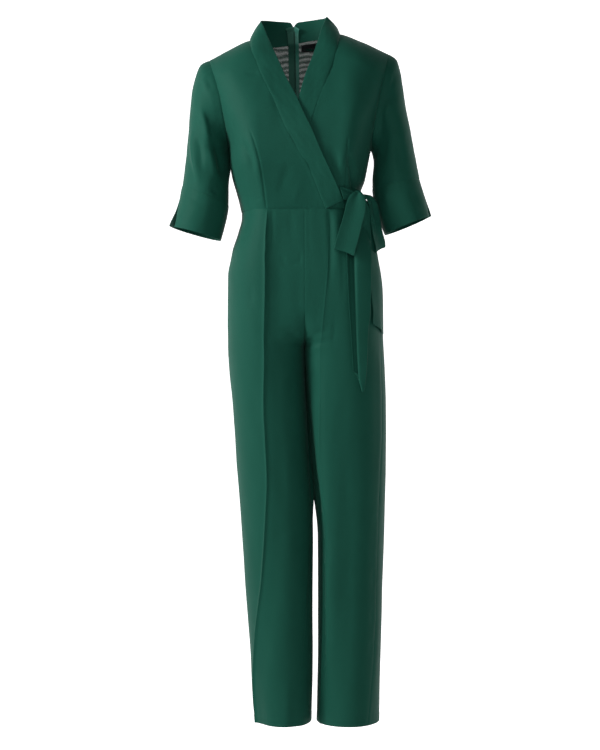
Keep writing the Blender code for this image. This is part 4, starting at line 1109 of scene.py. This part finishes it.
def build_sleeves():
    for left in (False, True):
        hand = "left" if left else "right"
        table = SLEEVE_LEFT if left else SLEEVE_RIGHT
        turn = np.linspace(0, 360, count(390, 3.1), endpoint=False)[None, :]
        n_rows = fine_rows(count(280, 2.8))
        n = (7 * n_rows ** 1.25)[:, None]
        p = sleeve_point(table, turn, n)
        axis_mid = p.mean(1, keepdims=True)
        nrm = grid_normals(p, True)
        nrm = nrm * np.sign((nrm * (p - axis_mid)).sum())
        low, high = arc(p, 0), None
        high = low[-1:] - low
        ease = smooth(low / 26)
        lift = sleeve_lift(p, turn + 0 * n, left, 41 + left) * ease * smooth(high / 8 + .3)
        # fullness eased into the cap
        cap = smooth((np.cos(np.radians(turn - 180)) + 0.3) / 0.8)
        lift += 1.4 * cap * bell(low - 14, 12)
        lift += cap * 0.35 * np.exp(-low / 16) * np.sin(np.radians(turn) * 34 + 1.3 * np.sin(np.radians(turn) * 5))
        lift += seam_dip(low, 0.7, 2.2) + seam_dip(high, 0.35, 1.8)
        lift += pucker(high, np.radians(turn) * 62 + 0 * n, 45, 0.22, 9, 12)
        if not left:
            # the sleeve hangs against the side of the body
            lift += 9.5 * bell(((turn + 180) % 360 - 180 + 0 * n) + 4, 38) * bell(p[..., 2] + 268, 34)
        p = p + nrm * lift[..., None]
        obj = shell("sleeve_" + hand, p, THIN, CREPE, closed=True, inner=CREPE_BACK,
                    flip=bool((grid_normals(p, True) * nrm).sum() < 0))
        finish_piece(obj, ["sleeve_" + hand])

        # ---- cuff: a straight deep band, slit on its outer side
        rows = count(100, 2.4)
        stations = np.linspace(7.0, 10.0, rows)
        share = np.linspace(0, 1, count(385, 2.6))
        open_up = smooth((stations - 7.9) / 2.1)
        front_edge, back_edge = (160 - 17 * open_up, 160 + 4 * open_up) if not left else (172 - 6 * open_up, 172 + 5 * open_up)
        turn = (back_edge[:, None] + (360 - back_edge + front_edge)[:, None] * share[None])
        p = sleeve_point(table, turn, stations[:, None])
        mid = p.mean(1, keepdims=True)
        nrm = grid_normals(p)
        nrm = nrm * np.sign((nrm * (p - mid)).sum())
        u, u2, low, high = edges_of(p)
        lift = sleeve_lift(p, turn, left, 41 + left) * 0.55
        lift += seam_dip(low, 0.35, 1.8) + pucker(low, np.radians(turn) * 62, 47, 0.15, 9, 12)
        lift += 0.15 + 1.0 * ripple(np.cos(np.radians(turn)) * 60, low + np.sin(np.radians(turn)) * 60, 120, 120, 51 + left)
        # the slit's edges open outwards a little, the back one more
        edge = np.minimum(u, u2)
        slit = smooth((stations - 7.9) / 2.1)[:, None]
        lift += 3.2 * slit * bell(u, 16) - 0.6 * slit * bell(u2, 12)
        p = p + nrm * lift[..., None]
        # close the band above the slit
        join = (p[:, 0] + p[:, -1]) / 2
        shut = (stations < 7.92)[:, None]
        p[:, 0] = np.where(shut, join, p[:, 0])
        p[:, -1] = np.where(shut, join, p[:, -1])
        obj = shell("cuff_" + hand, p, THIN * 1.6, CREPE, rim=0.5,
                    flip=bool((grid_normals(p) * nrm).sum() < 0))
        finish_piece(obj, ["cuff_" + hand])


# --------------------------------------------------------------- trousers
LEG_FRONT_RIGHT_FOLDS = [
    ([(-41, -462), (-27, -483), (0, -475), (5, -452)], -1.0, 5.0, .2, .2, 0),
    ([(-100, -520), (-100.5, -545), (-100, -572)], -1.0, 6.0, .4, .4, 0),
    ([(-58, -368), (-56, -420), (-58, -470)], -1.0, 4.0, .05, .6, .1),
    ([(-20, -372), (-18, -410), (-14, -450)], -0.9, 8.0, .1, .6, 0),
    ([(4, -640), (-18, -622), (-46, -612)], -2.0, 8.0, .15, .5, .2),
    ([(4, -652), (-16, -648), (-40, -650)], 1.5, 8.0, .15, .5, .2),
    ([(2, -690), (-14, -720), (-24, -770)], -1.6, 9.0, .2, .5, 0),
    ([(-118, -440), (-112, -500), (-110, -560)], 0.9, 12.0, .4, .5, 0),
    ([(-96, -680), (-92, -760), (-88, -860)], -0.9, 14.0, .4, .5, 0),
    ([(-20, -820), (-22, -900), (-16, -990)], 1.0, 12.0, .4, .5, 0),
    ([(-14, -1010), (-40, -1040), (-70, -1046)], -1.0, 14.0, .4, .5, 0),
    ([(10, -1060), (-16, -1084), (-50, -1092)], 0.9, 14.0, .4, .5, 0),
    ([(-30, -1330), (-26, -1380), (-22, -1433)], 0.9, 8.0, .4, .1, 0),
]
LEG_FRONT_LEFT_FOLDS = [
    ([(60, -368), (61, -452), (59, -560)], -2.2, 6.0, .02, .5, .2),
    ([(88, -440), (88, -500), (87, -570)], -1.2, 6.0, .35, .4, .2),
    ([(74, -380), (75, -450), (73, -520)], 1.6, 7.0, .1, .5, 0),
    ([(70, -590), (69.5, -620), (69, -656)], -1.2, 5.0, .4, .4, 0),
    ([(16, -640), (40, -622), (70, -612)], -1.8, 8.0, .15, .5, .2),
    ([(18, -655), (40, -652), (66, -660)], 1.4, 8.0, .15, .5, .2),
    ([(20, -690), (34, -730), (42, -790)], -1.4, 9.0, .2, .5, 0),
    ([(124, -1300), (126, -1360), (124, -1433)], -1.0, 6.0, .4, .05, .2),
    ([(150, -700), (148, -800), (146, -900)], 0.9, 12.0, .4, .5, 0),
    ([(164, -630), (166, -800), (163, -1000), (158, -1150), (154, -1300), (148, -1425)], 2.0, 4.5, .1, .05, .1),
    ([(157, -1100), (152, -1128), (153, -1160)], -1.3, 4.0, .3, .3, 0), ([(156, -1180), (150, -1206), (151, -1236)], -1.2, 4.0, .3, .3, 0),
    ([(152, -1250), (147, -1272), (149, -1300)], -1.2, 4.0, .3, .3, 0),
    ([(110, -820), (112, -900), (108, -990)], -0.8, 14.0, .4, .5, 0),
    ([(60, -1010), (90, -1040), (130, -1044)], -0.9, 14.0, .4, .5, 0),
    ([(52, -1064), (86, -1090), (124, -1096)], 0.8, 14.0, .4, .5, 0),
]
LEG_BACK_FOLDS = [        # on the distance from the middle, behind
    ([(4, -600), (28, -636), (60, -654)], -2.6, 9.0, .1, .5, .2),
    ([(4, -634), (30, -668), (66, -690)], 1.8, 9.0, .1, .5, .2),
    ([(20, -672), (50, -706), (92, -722)], -2.0, 9.0, .2, .5, .2),
    ([(120, -430), (90, -450), (56, -452)], -1.1, 7.0, .3, .5, .2),
    ([(12, -398), (40, -410), (74, -408)], -1.0, 6.0, .3, .5, 0),
    ([(70, -372), (66, -410), (62, -450)], -1.2, 3.0, .0, .2, 0),
    ([(30, -1030), (66, -1050), (110, -1040)], -1.8, 12.0, .3, .5, .2),
    ([(34, -1074), (70, -1090), (108, -1080)], 1.3, 12.0, .3, .5, .2),
]
CREASE_BACK = Table("z turn", [(-1433, 20), (-1250, 14), (-1000, 6), (-760, 2), (-600, 0)])


def arc_at(u, turn, c):
    """Running length at the crease on every row."""
    k = np.abs(turn - c).argmin(1)
    return u[np.arange(len(u)), k][:, None]


def leg_lift(p, turn, z, left, front, crease_turn, seed):
    x = p[..., 0]
    lift = 0.8 * ripple(turn * 1.35, z, 120, 420, seed)
    if front:
        lift += folds(x, z, LEG_FRONT_LEFT_FOLDS if left else LEG_FRONT_RIGHT_FOLDS)
    else:
        lift += folds(np.abs(x - 10), z, LEG_BACK_FOLDS)
    return lift


def build_trousers():
    z = np.linspace(-367.0, HEM_Z, count(1066, 4.0))[:, None]
    crotch_rows = None
    for left in (False, True):
        hand = "left" if left else "right"
        leg = LEG_LEFT if left else LEG_RIGHT
        crease = CREASE_LEFT if left else CREASE_RIGHT
        a, b = leg("side_seam", z), leg("inseam", z)
        for front in (True, False):
            if front:
                part = np.linspace(0, 1, count(110, 2.8))[None, :]
                c = crease("turn", z)
                turn = np.concatenate([a + (c - a) * (1 - (1 - part[:, :-1]) ** 1.35), c + (b - c) * part ** 1.35], 1)
            else:
                s = np.linspace(0, 1, count(265, 3.3))[None, :]
                a2 = a + (360 if a[0, 0] < 0 else -360)
                turn = b + (a2 - b) * (1e-5 + (1 - 1e-5) * s)
            p = leg_point(leg, turn, z)
            # down to the crotch the legs are one: their middle edges meet
            mine, other = (leg_point(one, one("inseam", z), z) for one in (leg, LEG_RIGHT if left else LEG_LEFT))
            if not front:
                mine, other = (leg_point(one, one("inseam", z) + (one("side_seam", z) + (360 if one("side_seam", z)[0, 0] < 0 else -360)
                                                                  - one("inseam", z)) * 1e-5, z)
                               for one in (leg, LEG_RIGHT if left else LEG_LEFT))
            d = arc(p, 1)
            d = (d[:, -1:] - d) if front else d
            p = p + ((mine + other) / 2 - mine) * (bell(d, 26) * (1 - smooth((-z - 646) / 16)))[..., None]
            centre = (leg("foremost", z) + leg("rearmost", z)) / 2
            out = p.copy()
            out[..., 0] -= centre
            n = grid_normals(p)
            n *= np.sign((n * out * [1, 1, 0]).sum())
            u, u2, low, high = edges_of(p)
            side_d, in_d = (u, u2) if front else (u2, u)
            ease_mid = smooth((-z - 640) / 40)           # middle seam above, inseam below
            lift = leg_lift(p, turn, z + 0 * turn, left, front, None, 61 + 2 * left + front)
            calm = smooth(side_d / 14) * smooth(in_d / 12) * smooth((low + 1.5) / 8)
            # pressed crease
            if front:
                c = crease("turn", z)
                ease = np.abs(turn - c) * math.pi / 180 * 72
                proud = crease("proud", z) + 1.2 * smooth((-z - 900) / 200)
                sharp = 1.0 if not left else 0.25 + 0.3 * smooth((-z - 640) / 160)
                top = smooth((-z - 366) / 30)
                lift += sharp * (proud * (0.75 * np.exp(-ease / 2.2) + 0.6 * np.exp(-ease / 19.0)) + 0.8 * np.exp(-ease / 2.2)) * (0.4 + 0.6 * top)
                # the cloth falls a little hollow on the inner side of it
                lift -= sharp * 1.5 * bell(ease - 26, 16) * smooth((-z - 380) / 60) * (u > arc_at(u, turn, c))
            else:
                c = (180 + (CREASE_BACK("turn", z) if left else -CREASE_BACK("turn", z)))
                sign = 1 if not left else -1
                tt = turn if not left else -turn
                cc = 180 + CREASE_BACK("turn", z)
                ease = np.abs(tt - cc) * math.pi / 180 * 76
                lift += 2.6 * smooth((-z - 560) / 160) * (0.5 * np.exp(-ease / 3.2) + 0.6 * bell(ease, 16))
            lift *= calm
            lift += seam_dip(side_d, 0.7) + pucker(side_d, z + 0 * turn, 71 + left, 0.3, 12, 20)
            lift += seam_dip(in_d, 0.35, 1.8) * (1 - smooth((-z - 540) / 40))
            low_seam = smooth((p[..., 0] + 74) / 8) if front and not left else 1.0
            lift += (seam_dip(low, 0.7) + pucker(low, u, 73, 0.25, 10, 12)) * smooth(in_d / 12) * low_seam
            # blind hem: a faint line, and the doubled cloth below it
            lift += -0.45 * bell(high - 19, 1.4) + 0.3 * smooth((19 - high) / 2)
            lift += 0.25 * np.exp(-np.abs(high - 19) / 7) * ripple(u, 0 * u, 13, 13, 75 + left, 2)
            # the hem swings a little
            lift += 1.6 * smooth(side_d / 20) * smooth(in_d / 20) * smooth((90 - high) / 90) * np.sin(np.radians(turn) * 3 + 0.8 + left)
            # keep the two legs from touching on the inside
            keep = smooth((in_d - 4) / 22)
            lift = np.where(lift > 0, lift * (0.25 + 0.75 * keep), lift)
            p = p + n * lift[..., None]
            # above the knee the legs hang against each other, one inner edge
            # a little in front of the other's
            inward = -1 if left else 1
            near = bell(in_d, 46) * smooth(in_d / 10)
            reach = smooth((-z - 636) / 30) * (1 - smooth((-z - 930) / 90))
            if front == left:
                p[..., 0] += inward * 6.5 * near * reach
            if front:
                down = smooth((-z - 585) / 70) * (1 - smooth((-z - 1120) / 300)) * (0.85 if left else 0.3)
                mid, edge = leg("foremost", z), mine[..., 0]
                share = np.clip((p[..., 0] - mid) / (edge - mid), 0, 1)
                depth = leg("front", z) + mine[..., 1]
                p[..., 1] -= depth * ((1 - share ** 3) ** (1 / 3) - np.sqrt(1 - share * share)) * down
            name = "trouser_%s_%s" % ("front" if front else "back", hand)
            obj = shell(name, p, THIN, CREPE, inner=CREPE_BACK,
                        flip=bool((grid_normals(p) * n).sum() < 0))
            finish_piece(obj, [name])


# ------------------------------------------------------------------- bow
def ribbon_grid(rows, lie, across=15, step=2.2, gather=None, curl=0.0, turn_sign=1.0):
    """Ribbon through its sections with soft lengthwise gathers that die out
    away from the knot.  gather: rows of (share along, height, waves)."""
    r = np.array(rows[1:], float)
    k = np.concatenate([[0], np.cumsum(np.linalg.norm(np.diff(r[:, :3], axis=0), axis=1))])
    t = Table("k x y z half lean", np.column_stack([k, r]))
    s = np.linspace(0, k[-1], max(8, int(k[-1] / step * (0.6 + 0.4 * FINE))))
    c = np.stack([t(n, s) for n in "xyz"], -1)
    # rounder than the sections: ease the middle line
    for _ in range(3):
        c[1:-1] = (c[:-2] + 2 * c[1:-1] + c[2:]) / 4
    lean = t("lean", s)
    one, zero = np.ones(len(s)), np.zeros(len(s))
    w = {"level": np.stack([one, zero, lean], -1), "upright": np.stack([-lean, zero, one], -1),
         "turned": np.stack([0.6 * one, 0.8 * one, lean], -1)}[lie]
    w = norm(w)
    tangent = norm(np.gradient(c, axis=0))
    n = norm(np.cross(w, tangent)) * turn_sign
    u = np.linspace(-1, 1, across)
    half = t("half", s)[:, None]
    share = (s / k[-1])[:, None]
    lift = curl * (1 - u[None] ** 2) + 0 * share
    if gather:
        g = Table("share high waves shift", gather)
        lift = lift + g("high", share) * np.cos(u[None] * math.pi * g("waves", share) + g("shift", share))
    return c[:, None] + w[:, None] * (half * u[None])[..., None] + n[:, None] * lift[..., None]


def leg_front(table, x, z):
    """Depth of a leg's front at x."""
    mid, edge = table("foremost", z), table("side", z)
    end = 5 * smooth((-z - 600) / 60)
    a = np.clip((x - mid) / (edge - mid), 0, 1)
    return end + (-table("front", z) - end) * np.sqrt(1 - a * a)


def build_bow():
    p = ribbon_grid(TIE_LEAD, "upright", 19, 1.6,
                    gather=[(0, .15, 1.5, 0), (.4, .5, 1.8, .3), (.75, 1.1, 2.2, .6), (1, 1.3, 2.4, .6)], curl=1.0,
                    turn_sign=-1)
    obj = shell("tie_lead", p, 1.4, CREPE, flip=bool((grid_normals(p) * [0, -1, 0]).sum() < 0))
    finish_piece(obj, ["tie_lead"])

    rows = [TIE_LOOP_FRONT[0], (118.5, -101, -333.5, 8, -.05), (118, -104.2, -338, 12, -.1),
            (116, -108, -350, 17.5, -.15), (113, -112, -370, 20, -.22)] + TIE_LOOP_FRONT[4:-1] + [(116, -86, -352, 6, -.2)]
    p = ribbon_grid(rows, "level", 27, 1.8,
                    gather=[(0, 1.2, 1.6, .4), (.08, 1.0, 1.3, .4), (.2, .7, 1.0, .5), (.45, .4, 1.0, .6),
                            (.6, .5, 1.0, .2), (.8, 1.2, 1.5, 0), (1, 1.5, 2.3, 0)], curl=1.4)
    obj = shell("tie_loop_front", p, 1.4, CREPE)
    finish_piece(obj, ["tie_loop_front"])

    rows = [TIE_LOOP_SIDE[0], (122, -91, -338, 4.5, .3)] + TIE_LOOP_SIDE[1:] + [(123, -88, -345, 4, .3)]
    p = ribbon_grid(rows, "turned", 21, 1.8,
                    gather=[(0, 1.2, 2.0, .4), (.12, 1.2, 1.6, .4), (.3, .8, 1.1, .5), (.5, .4, 1.0, .6),
                            (.7, .7, 1.0, .2), (.88, 1.0, 1.5, 0), (1, 1.2, 2.0, 0)], curl=1.0)
    obj = shell("tie_loop_side", p, 1.4, CREPE)
    finish_piece(obj, ["tie_loop_side"])

    front = Table("z left fold right", [
        (-367, 106, 119, 142), (-409, 101, 112, 146), (-462, 95.6, 109.5, 146), (-530, 98, 111, 145),
        (-582, 101, 113, 143.5), (-621, 104, 114.5, 139.2), (-681, 107.6, 117.4, 137.2),
        (-712, 110, 120.0, 135), (-742, 125, 127.5, 131)])
    z = np.linspace(-343, -742, count(400, 2.4))[:, None]
    u = np.linspace(0, 1, 23)[None]
    zc = np.clip(z, -742, -367.5)
    xl, xf, xr = front("left", zc), front("fold", zc), front("right", zc)
    x = np.where(u < .5, xl + (xf - xl) * u * 2, xf + (xr - xf) * (u * 2 - 1))
    edge = np.abs(u - 0.5) * 2
    # folded along its length into a valley, its inner half turned away
    deep = 0.35 + 0.65 * smooth((z + 600) / 160)
    base = leg_front(LEG_LEFT, x, zc)
    fold = leg_front(LEG_LEFT, xf, zc)
    base = np.where(u < .5, base, fold + 0.22 * (base - fold))
    off = np.where(u < .5, 1.2 + 9.0 * smooth((edge - 0.6) / 0.4), 2.0 + 15.0 * smooth(edge / 0.12) - 3.0 * edge ** 2)
    off = 2.0 + (off - 2.0) * deep + 0.6 * np.sin(z / 34 + 2.0 * u) * smooth((-z - 400) / 80)
    p = np.stack([x, base - off, z + 30 * smooth((-z - 690) / 52) * np.clip(1 - 2 * u, 0, 1)], -1)
    free = 1 - smooth((-z - 350) / 95)[..., None]
    half = 7 + 9 * smooth((-z - 343) / 60)
    hang = np.stack([122 + 0.06 * (-z - 343) + half * (2 * u - 1), -92 + 0.05 * (-z - 343) + half * (2 * u - 1) * .3
                     + 1.3 * np.cos(u * 9), z + 0 * u], -1)
    p = p * (1 - free) + hang * free
    obj = shell("tie_tail_front", p, 1.4, CREPE, flip=flip_of(p, (0, -1, 0)))
    finish_piece(obj, ["tie_tail_front"])

    rows = [TAIL_SIDE[0]] + TAIL_SIDE[1:-1] + [(-622, 44, 60, 76, 3)]
    t = Table("z a b c off", rows[1:])
    z = np.linspace(-343, -622, count(280, 2.4))[:, None]
    u = np.linspace(0, 1, 19)[None]
    zc = np.clip(z, -622, rows[1][0])
    a, b, c, off = (t(k, zc) for k in ("a", "b", "c", "off"))
    turn = np.where(u < .5, a + (b - a) * u * 2, b + (c - b) * (u * 2 - 1))
    lift = off + 1.4 * bell(np.abs(u - .5) * 2, .5) + 1.1 * np.sin(z / 26 + 2.4 * u) + 0.8 * np.sin(u * 9 + 1) * smooth((z + 520) / 60)
    # slant-cut end
    zz = z + 20 * smooth((-z - 545) / 77) * (1 - u)
    p = on_leg(LEG_LEFT, turn, np.minimum(zz, -367.5), lift)
    p[..., 2] = zz
    free = 1 - smooth((-z - 375) / 130)[..., None]
    half = 6 + 9 * smooth((-z - 343) / 60)
    hang = np.stack([128 + 0.27 * (-z - 343) + half * (2 * u - 1), -86 + 0.16 * (-z - 343) + half * (2 * u - 1) * .6
                     + 1.2 * np.cos(u * 8), zz], -1)
    p = p * (1 - free) + hang * free
    obj = shell("tie_tail_side", p, 1.4, CREPE, flip=flip_of(p, (1, -1, 0)))
    finish_piece(obj, ["tie_tail_side"])

    # knot: a small rounded wrap with the cloth's folds running round it
    low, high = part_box("tie_knot")
    low, high = np.array(low) / MM, np.array(high) / MM
    mid, half = (low + high) / 2, (high - low) / 2
    rows, cols = count(60, 1.2), count(70, 1.2)
    v = np.linspace(-0.5, 0.5, rows)[:, None] * math.pi
    u = np.linspace(0, 2 * math.pi, cols, endpoint=False)[None]

    def power(a, e):
        return np.sign(a) * np.abs(a) ** e
    cx, cy, cz = power(np.cos(v), .75) * power(np.cos(u), .8), power(np.cos(v), .75) * power(np.sin(u), .8), power(np.sin(v), .75) + 0 * u
    p = np.stack([cx * half[0], cy * half[1], cz * half[2]], -1)
    wrap = 0.7 * np.sin(p[..., 2] / half[2] * 3.2 + p[..., 0] / half[0] * 1.1 + 0.8)
    wrap = wrap - 0.9 * bell(p[..., 2] + p[..., 0] * .5 - 3, 1.4) - 0.7 * bell(p[..., 2] + p[..., 0] * .4 + 4, 1.3)
    p = p * (0.93 + 0.05 * wrap[..., None]) + mid
    idx = np.arange(rows * cols).reshape(rows, cols)
    quads = np.stack([idx[:-1], np.roll(idx[:-1], -1, 1), np.roll(idx[1:], -1, 1), idx[1:]], -1).reshape(-1, 4)
    verts = p.reshape(-1, 3)
    verts = np.concatenate([verts, [p[0].mean(0)], [p[-1].mean(0)]])
    top = np.stack([np.roll(idx[0], -1), idx[0], np.full(cols, rows * cols), np.full(cols, rows * cols)], -1)
    bot = np.stack([idx[-1], np.roll(idx[-1], -1), np.full(cols, rows * cols + 1), np.full(cols, rows * cols + 1)], -1)
    obj = mesh_polys("tie_knot_cloth", verts * MM, [quads, top[:, :3], bot[:, :3]], CREPE)
    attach(obj, "garment")
    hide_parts("tie_knot")


def mesh_polys(name, verts, face_sets, material):
    faces = [tuple(int(i) for i in f) for fs in face_sets for f in fs]
    mesh = bpy.data.meshes.new(name)
    mesh.from_pydata([tuple(v) for v in verts], [], faces)
    mesh.validate()
    v = np.asarray(verts)
    vol = 0.0
    for f in faces:
        for k in range(1, len(f) - 1):
            vol += np.dot(np.cross(v[f[0]], v[f[k]]), v[f[k + 1]])
    if vol < 0:
        mesh.flip_normals()
    mesh.polygons.foreach_set("use_smooth", np.ones(len(mesh.polygons), bool))
    mesh.materials.append(material)
    obj = bpy.data.objects.new(name, mesh)
    bpy.context.scene.collection.objects.link(obj)
    return obj


# ------------------------------------------------------------------- zip
def build_zip():
    for left in (False, True):
        hand = "left" if left else "right"
        low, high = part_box("zip_tape_" + hand)
        wide = 8.0 if left else 14.0
        sign = 1 if left else -1
        z = np.linspace(33, -545, count(578, 3.0))
        u = np.linspace(0, 1, 7)
        x0 = CENTRE_BACK("x", z)[:, None] + sign * 0.2
        x = x0 + sign * wide * u[None]
        zz = z[:, None] + 0 * x
        inside = 2.2 + 1.8 * smooth((zz + 25) / 20)
        y = np.where(zz > -3, torso_y(x, -3 + 0 * x, 1) * (1 - (zz + 3) / 45) + 60 * (zz + 3) / 45,
                     np.where(zz > WAIST_Z, torso_y(x, zz, 1), LEG_RIGHT("back", zz)))
        y = y - inside - 0.5 * np.sin(zz / 21 + 2 * u) * u
        # the tops curl away from the teeth
        curl = smooth((zz - 6) / 27)
        x = x + sign * (1.5 * u**2 + 1.5 * u * smooth((zz - 20) / 14)) * curl
        y = y - (3.0 * u**2 + 3.5 * smooth((zz - 18) / 14)) * curl
        zz = zz - 5.0 * u**2 * smooth((zz - 22) / 11)
        p = np.stack([x, y, zz + 0 * x], -1)
        # the wearer's left tape takes the lighter colour of the painted highlight
        obj = shell("zip_tape_" + hand, p, 0.5, TAPE_PAINTED_HIGHLIGHT if left else TAPE, flip=flip_of(p, (0, -1, 0)))
        finish_piece(obj, ["zip_tape_" + hand])
    # the closed teeth: one small coil turn every 1.4 mm down the middle
    z = np.arange(24, -540, -1.6)
    verts, faces = [], []
    for i, zi in enumerate(z):
        x = float(CENTRE_BACK("x", zi))
        if zi > -3:
            y = float(torso_y(x, -3.0, 1)) * (1 - (zi + 3) / 45) + 60 * (zi + 3) / 45
        elif zi > WAIST_Z:
            y = float(torso_y(x, zi, 1))
        else:
            y = float(LEG_RIGHT("back", zi))
        y -= 3.3 + 1.8 * float(smooth((zi + 25) / 20))
        base = len(verts)
        for dx, dy, dz in ((-1.7, 0, -.35), (1.7, 0, -.35), (1.7, 0, .35), (-1.7, 0, .35),
                           (-1.3, -.9, -.3), (1.3, -.9, -.3), (1.3, -.9, .3), (-1.3, -.9, .3)):
            verts.append((x + dx, y + dy, zi + dz))
        for f in ((3, 2, 1, 0), (4, 5, 6, 7), (0, 1, 5, 4), (1, 2, 6, 5), (2, 3, 7, 6), (3, 0, 4, 7)):
            faces.append([base + k for k in f])
    obj = mesh_polys("zip_teeth", np.array(verts) * MM, [np.array(faces)], ENAMEL)
    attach(obj, "garment")
    for node in ("zip_slider", "zip_pull"):
        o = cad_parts[node]
        for slot_ in o.material_slots:
            slot_.material = ENAMEL


def build_label():
    s = np.linspace(0, 1, 14)
    t = np.linspace(0, 1, 8)[:, None]
    px = 3 + 33 * s[None] + 0 * t
    pz = -4.5 + 3.5 * s - 13 * t - 1.5 * t * s
    y = torso_y(px, pz, 1) - 2.4 - 0.6 * np.sin(s * 4 + t * 2) * t
    p = np.stack([px, y, pz], -1)
    obj = shell("neck_label", p, 0.4, LABEL, flip=flip_of(p, (0, -1, 0)))
    finish_piece(obj, ["neck_label"])


# ----------------------------------------------------------------- stage
def build_stage():
    mesh = bpy.data.meshes.new("floor")
    # a plain pale floor that sweeps up far behind
    prof = [(-14.0, 0.0), (3.0, 0.0)]
    for i in range(1, 13):
        a = math.pi / 2 * i / 12
        prof.append((3.0 + 3.0 * math.sin(a), 3.0 - 3.0 * math.cos(a)))
    prof.append((6.0, 9.0))
    verts = [(x, y, z - 1.62) for y, z in prof for x in (-14.0, 14.0)]
    faces = [(2 * i, 2 * i + 1, 2 * i + 3, 2 * i + 2) for i in range(len(prof) - 1)]
    mesh.from_pydata(verts, [], faces)
    mesh.polygons.foreach_set("use_smooth", np.ones(len(faces), bool))
    m, tree, shader = new_material("pale_floor")
    shader.inputs["Base Color"].default_value = (0.9, 0.9, 0.9, 1)
    shader.inputs["Roughness"].default_value = 0.9
    shader.inputs["Emission Color"].default_value = (1, 1, 1, 1)
    # the sweep glows only behind the garment
    coord, split = tree.nodes.new("ShaderNodeTexCoord"), tree.nodes.new("ShaderNodeSeparateXYZ")
    glow = tree.nodes.new("ShaderNodeMapRange")
    glow.interpolation_type = "SMOOTHSTEP"
    for key, value in (("From Min", 0.15), ("From Max", 0.6), ("To Min", 0.0), ("To Max", 0.9)):
        glow.inputs[key].default_value = value
    link(tree, coord.outputs["Object"], split.inputs[0])
    link(tree, split.outputs["Y"], glow.inputs["Value"])
    link(tree, glow.outputs["Result"], shader.inputs["Emission Strength"])
    mesh.materials.append(m)
    floor = bpy.data.objects.new("floor", mesh)
    bpy.context.scene.collection.objects.link(floor)

    world = bpy.data.worlds.new("studio")
    bpy.context.scene.world = world
    world.use_nodes = True
    bg = world.node_tree.nodes["Background"]
    bg.inputs["Color"].default_value = (1, 1, 1, 1)
    bg.inputs["Strength"].default_value = 0.13

    def area(name, place, aim, size, power):
        light = bpy.data.lights.new(name, "AREA")
        light.shape = "RECTANGLE"
        light.size, light.size_y = size
        light.energy = power
        obj = bpy.data.objects.new(name, light)
        obj.location = place
        d = np.array(aim, float) - np.array(place, float)
        obj.rotation_euler = (math.atan2(math.hypot(d[0], d[1]), -d[2]), 0,
                              math.atan2(d[1], d[0]) - math.pi / 2)
        bpy.context.scene.collection.objects.link(obj)

    area("key_left", (-2.1, -0.95, 0.40), (0, 0, -0.5), (0.7, 1.3), 62)
    area("side_right", (2.6, 1.3, -0.4), (0, 0, -0.8), (0.6, 2.4), 6)
    area("fill_front", (0.5, -4.6, 0.8), (0, 0, -0.4), (1.6, 1.6), 40)

    cam_data = bpy.data.cameras.new("camera")
    cam_data.sensor_width = 36.0
    cam_data.lens = 36.0 * 4.0 / 1.575
    cam = bpy.data.objects.new("camera", cam_data)
    cam.location = (0.0, -4.0, -0.7077)
    cam.rotation_euler = (math.pi / 2, 0, 0)
    bpy.context.scene.collection.objects.link(cam)
    bpy.context.scene.camera = cam
    bpy.context.scene.view_settings.view_transform = "Standard"


build_bodice()
build_collar()
build_sleeves()
build_trousers()
build_bow()
build_zip()
build_label()
build_stage()
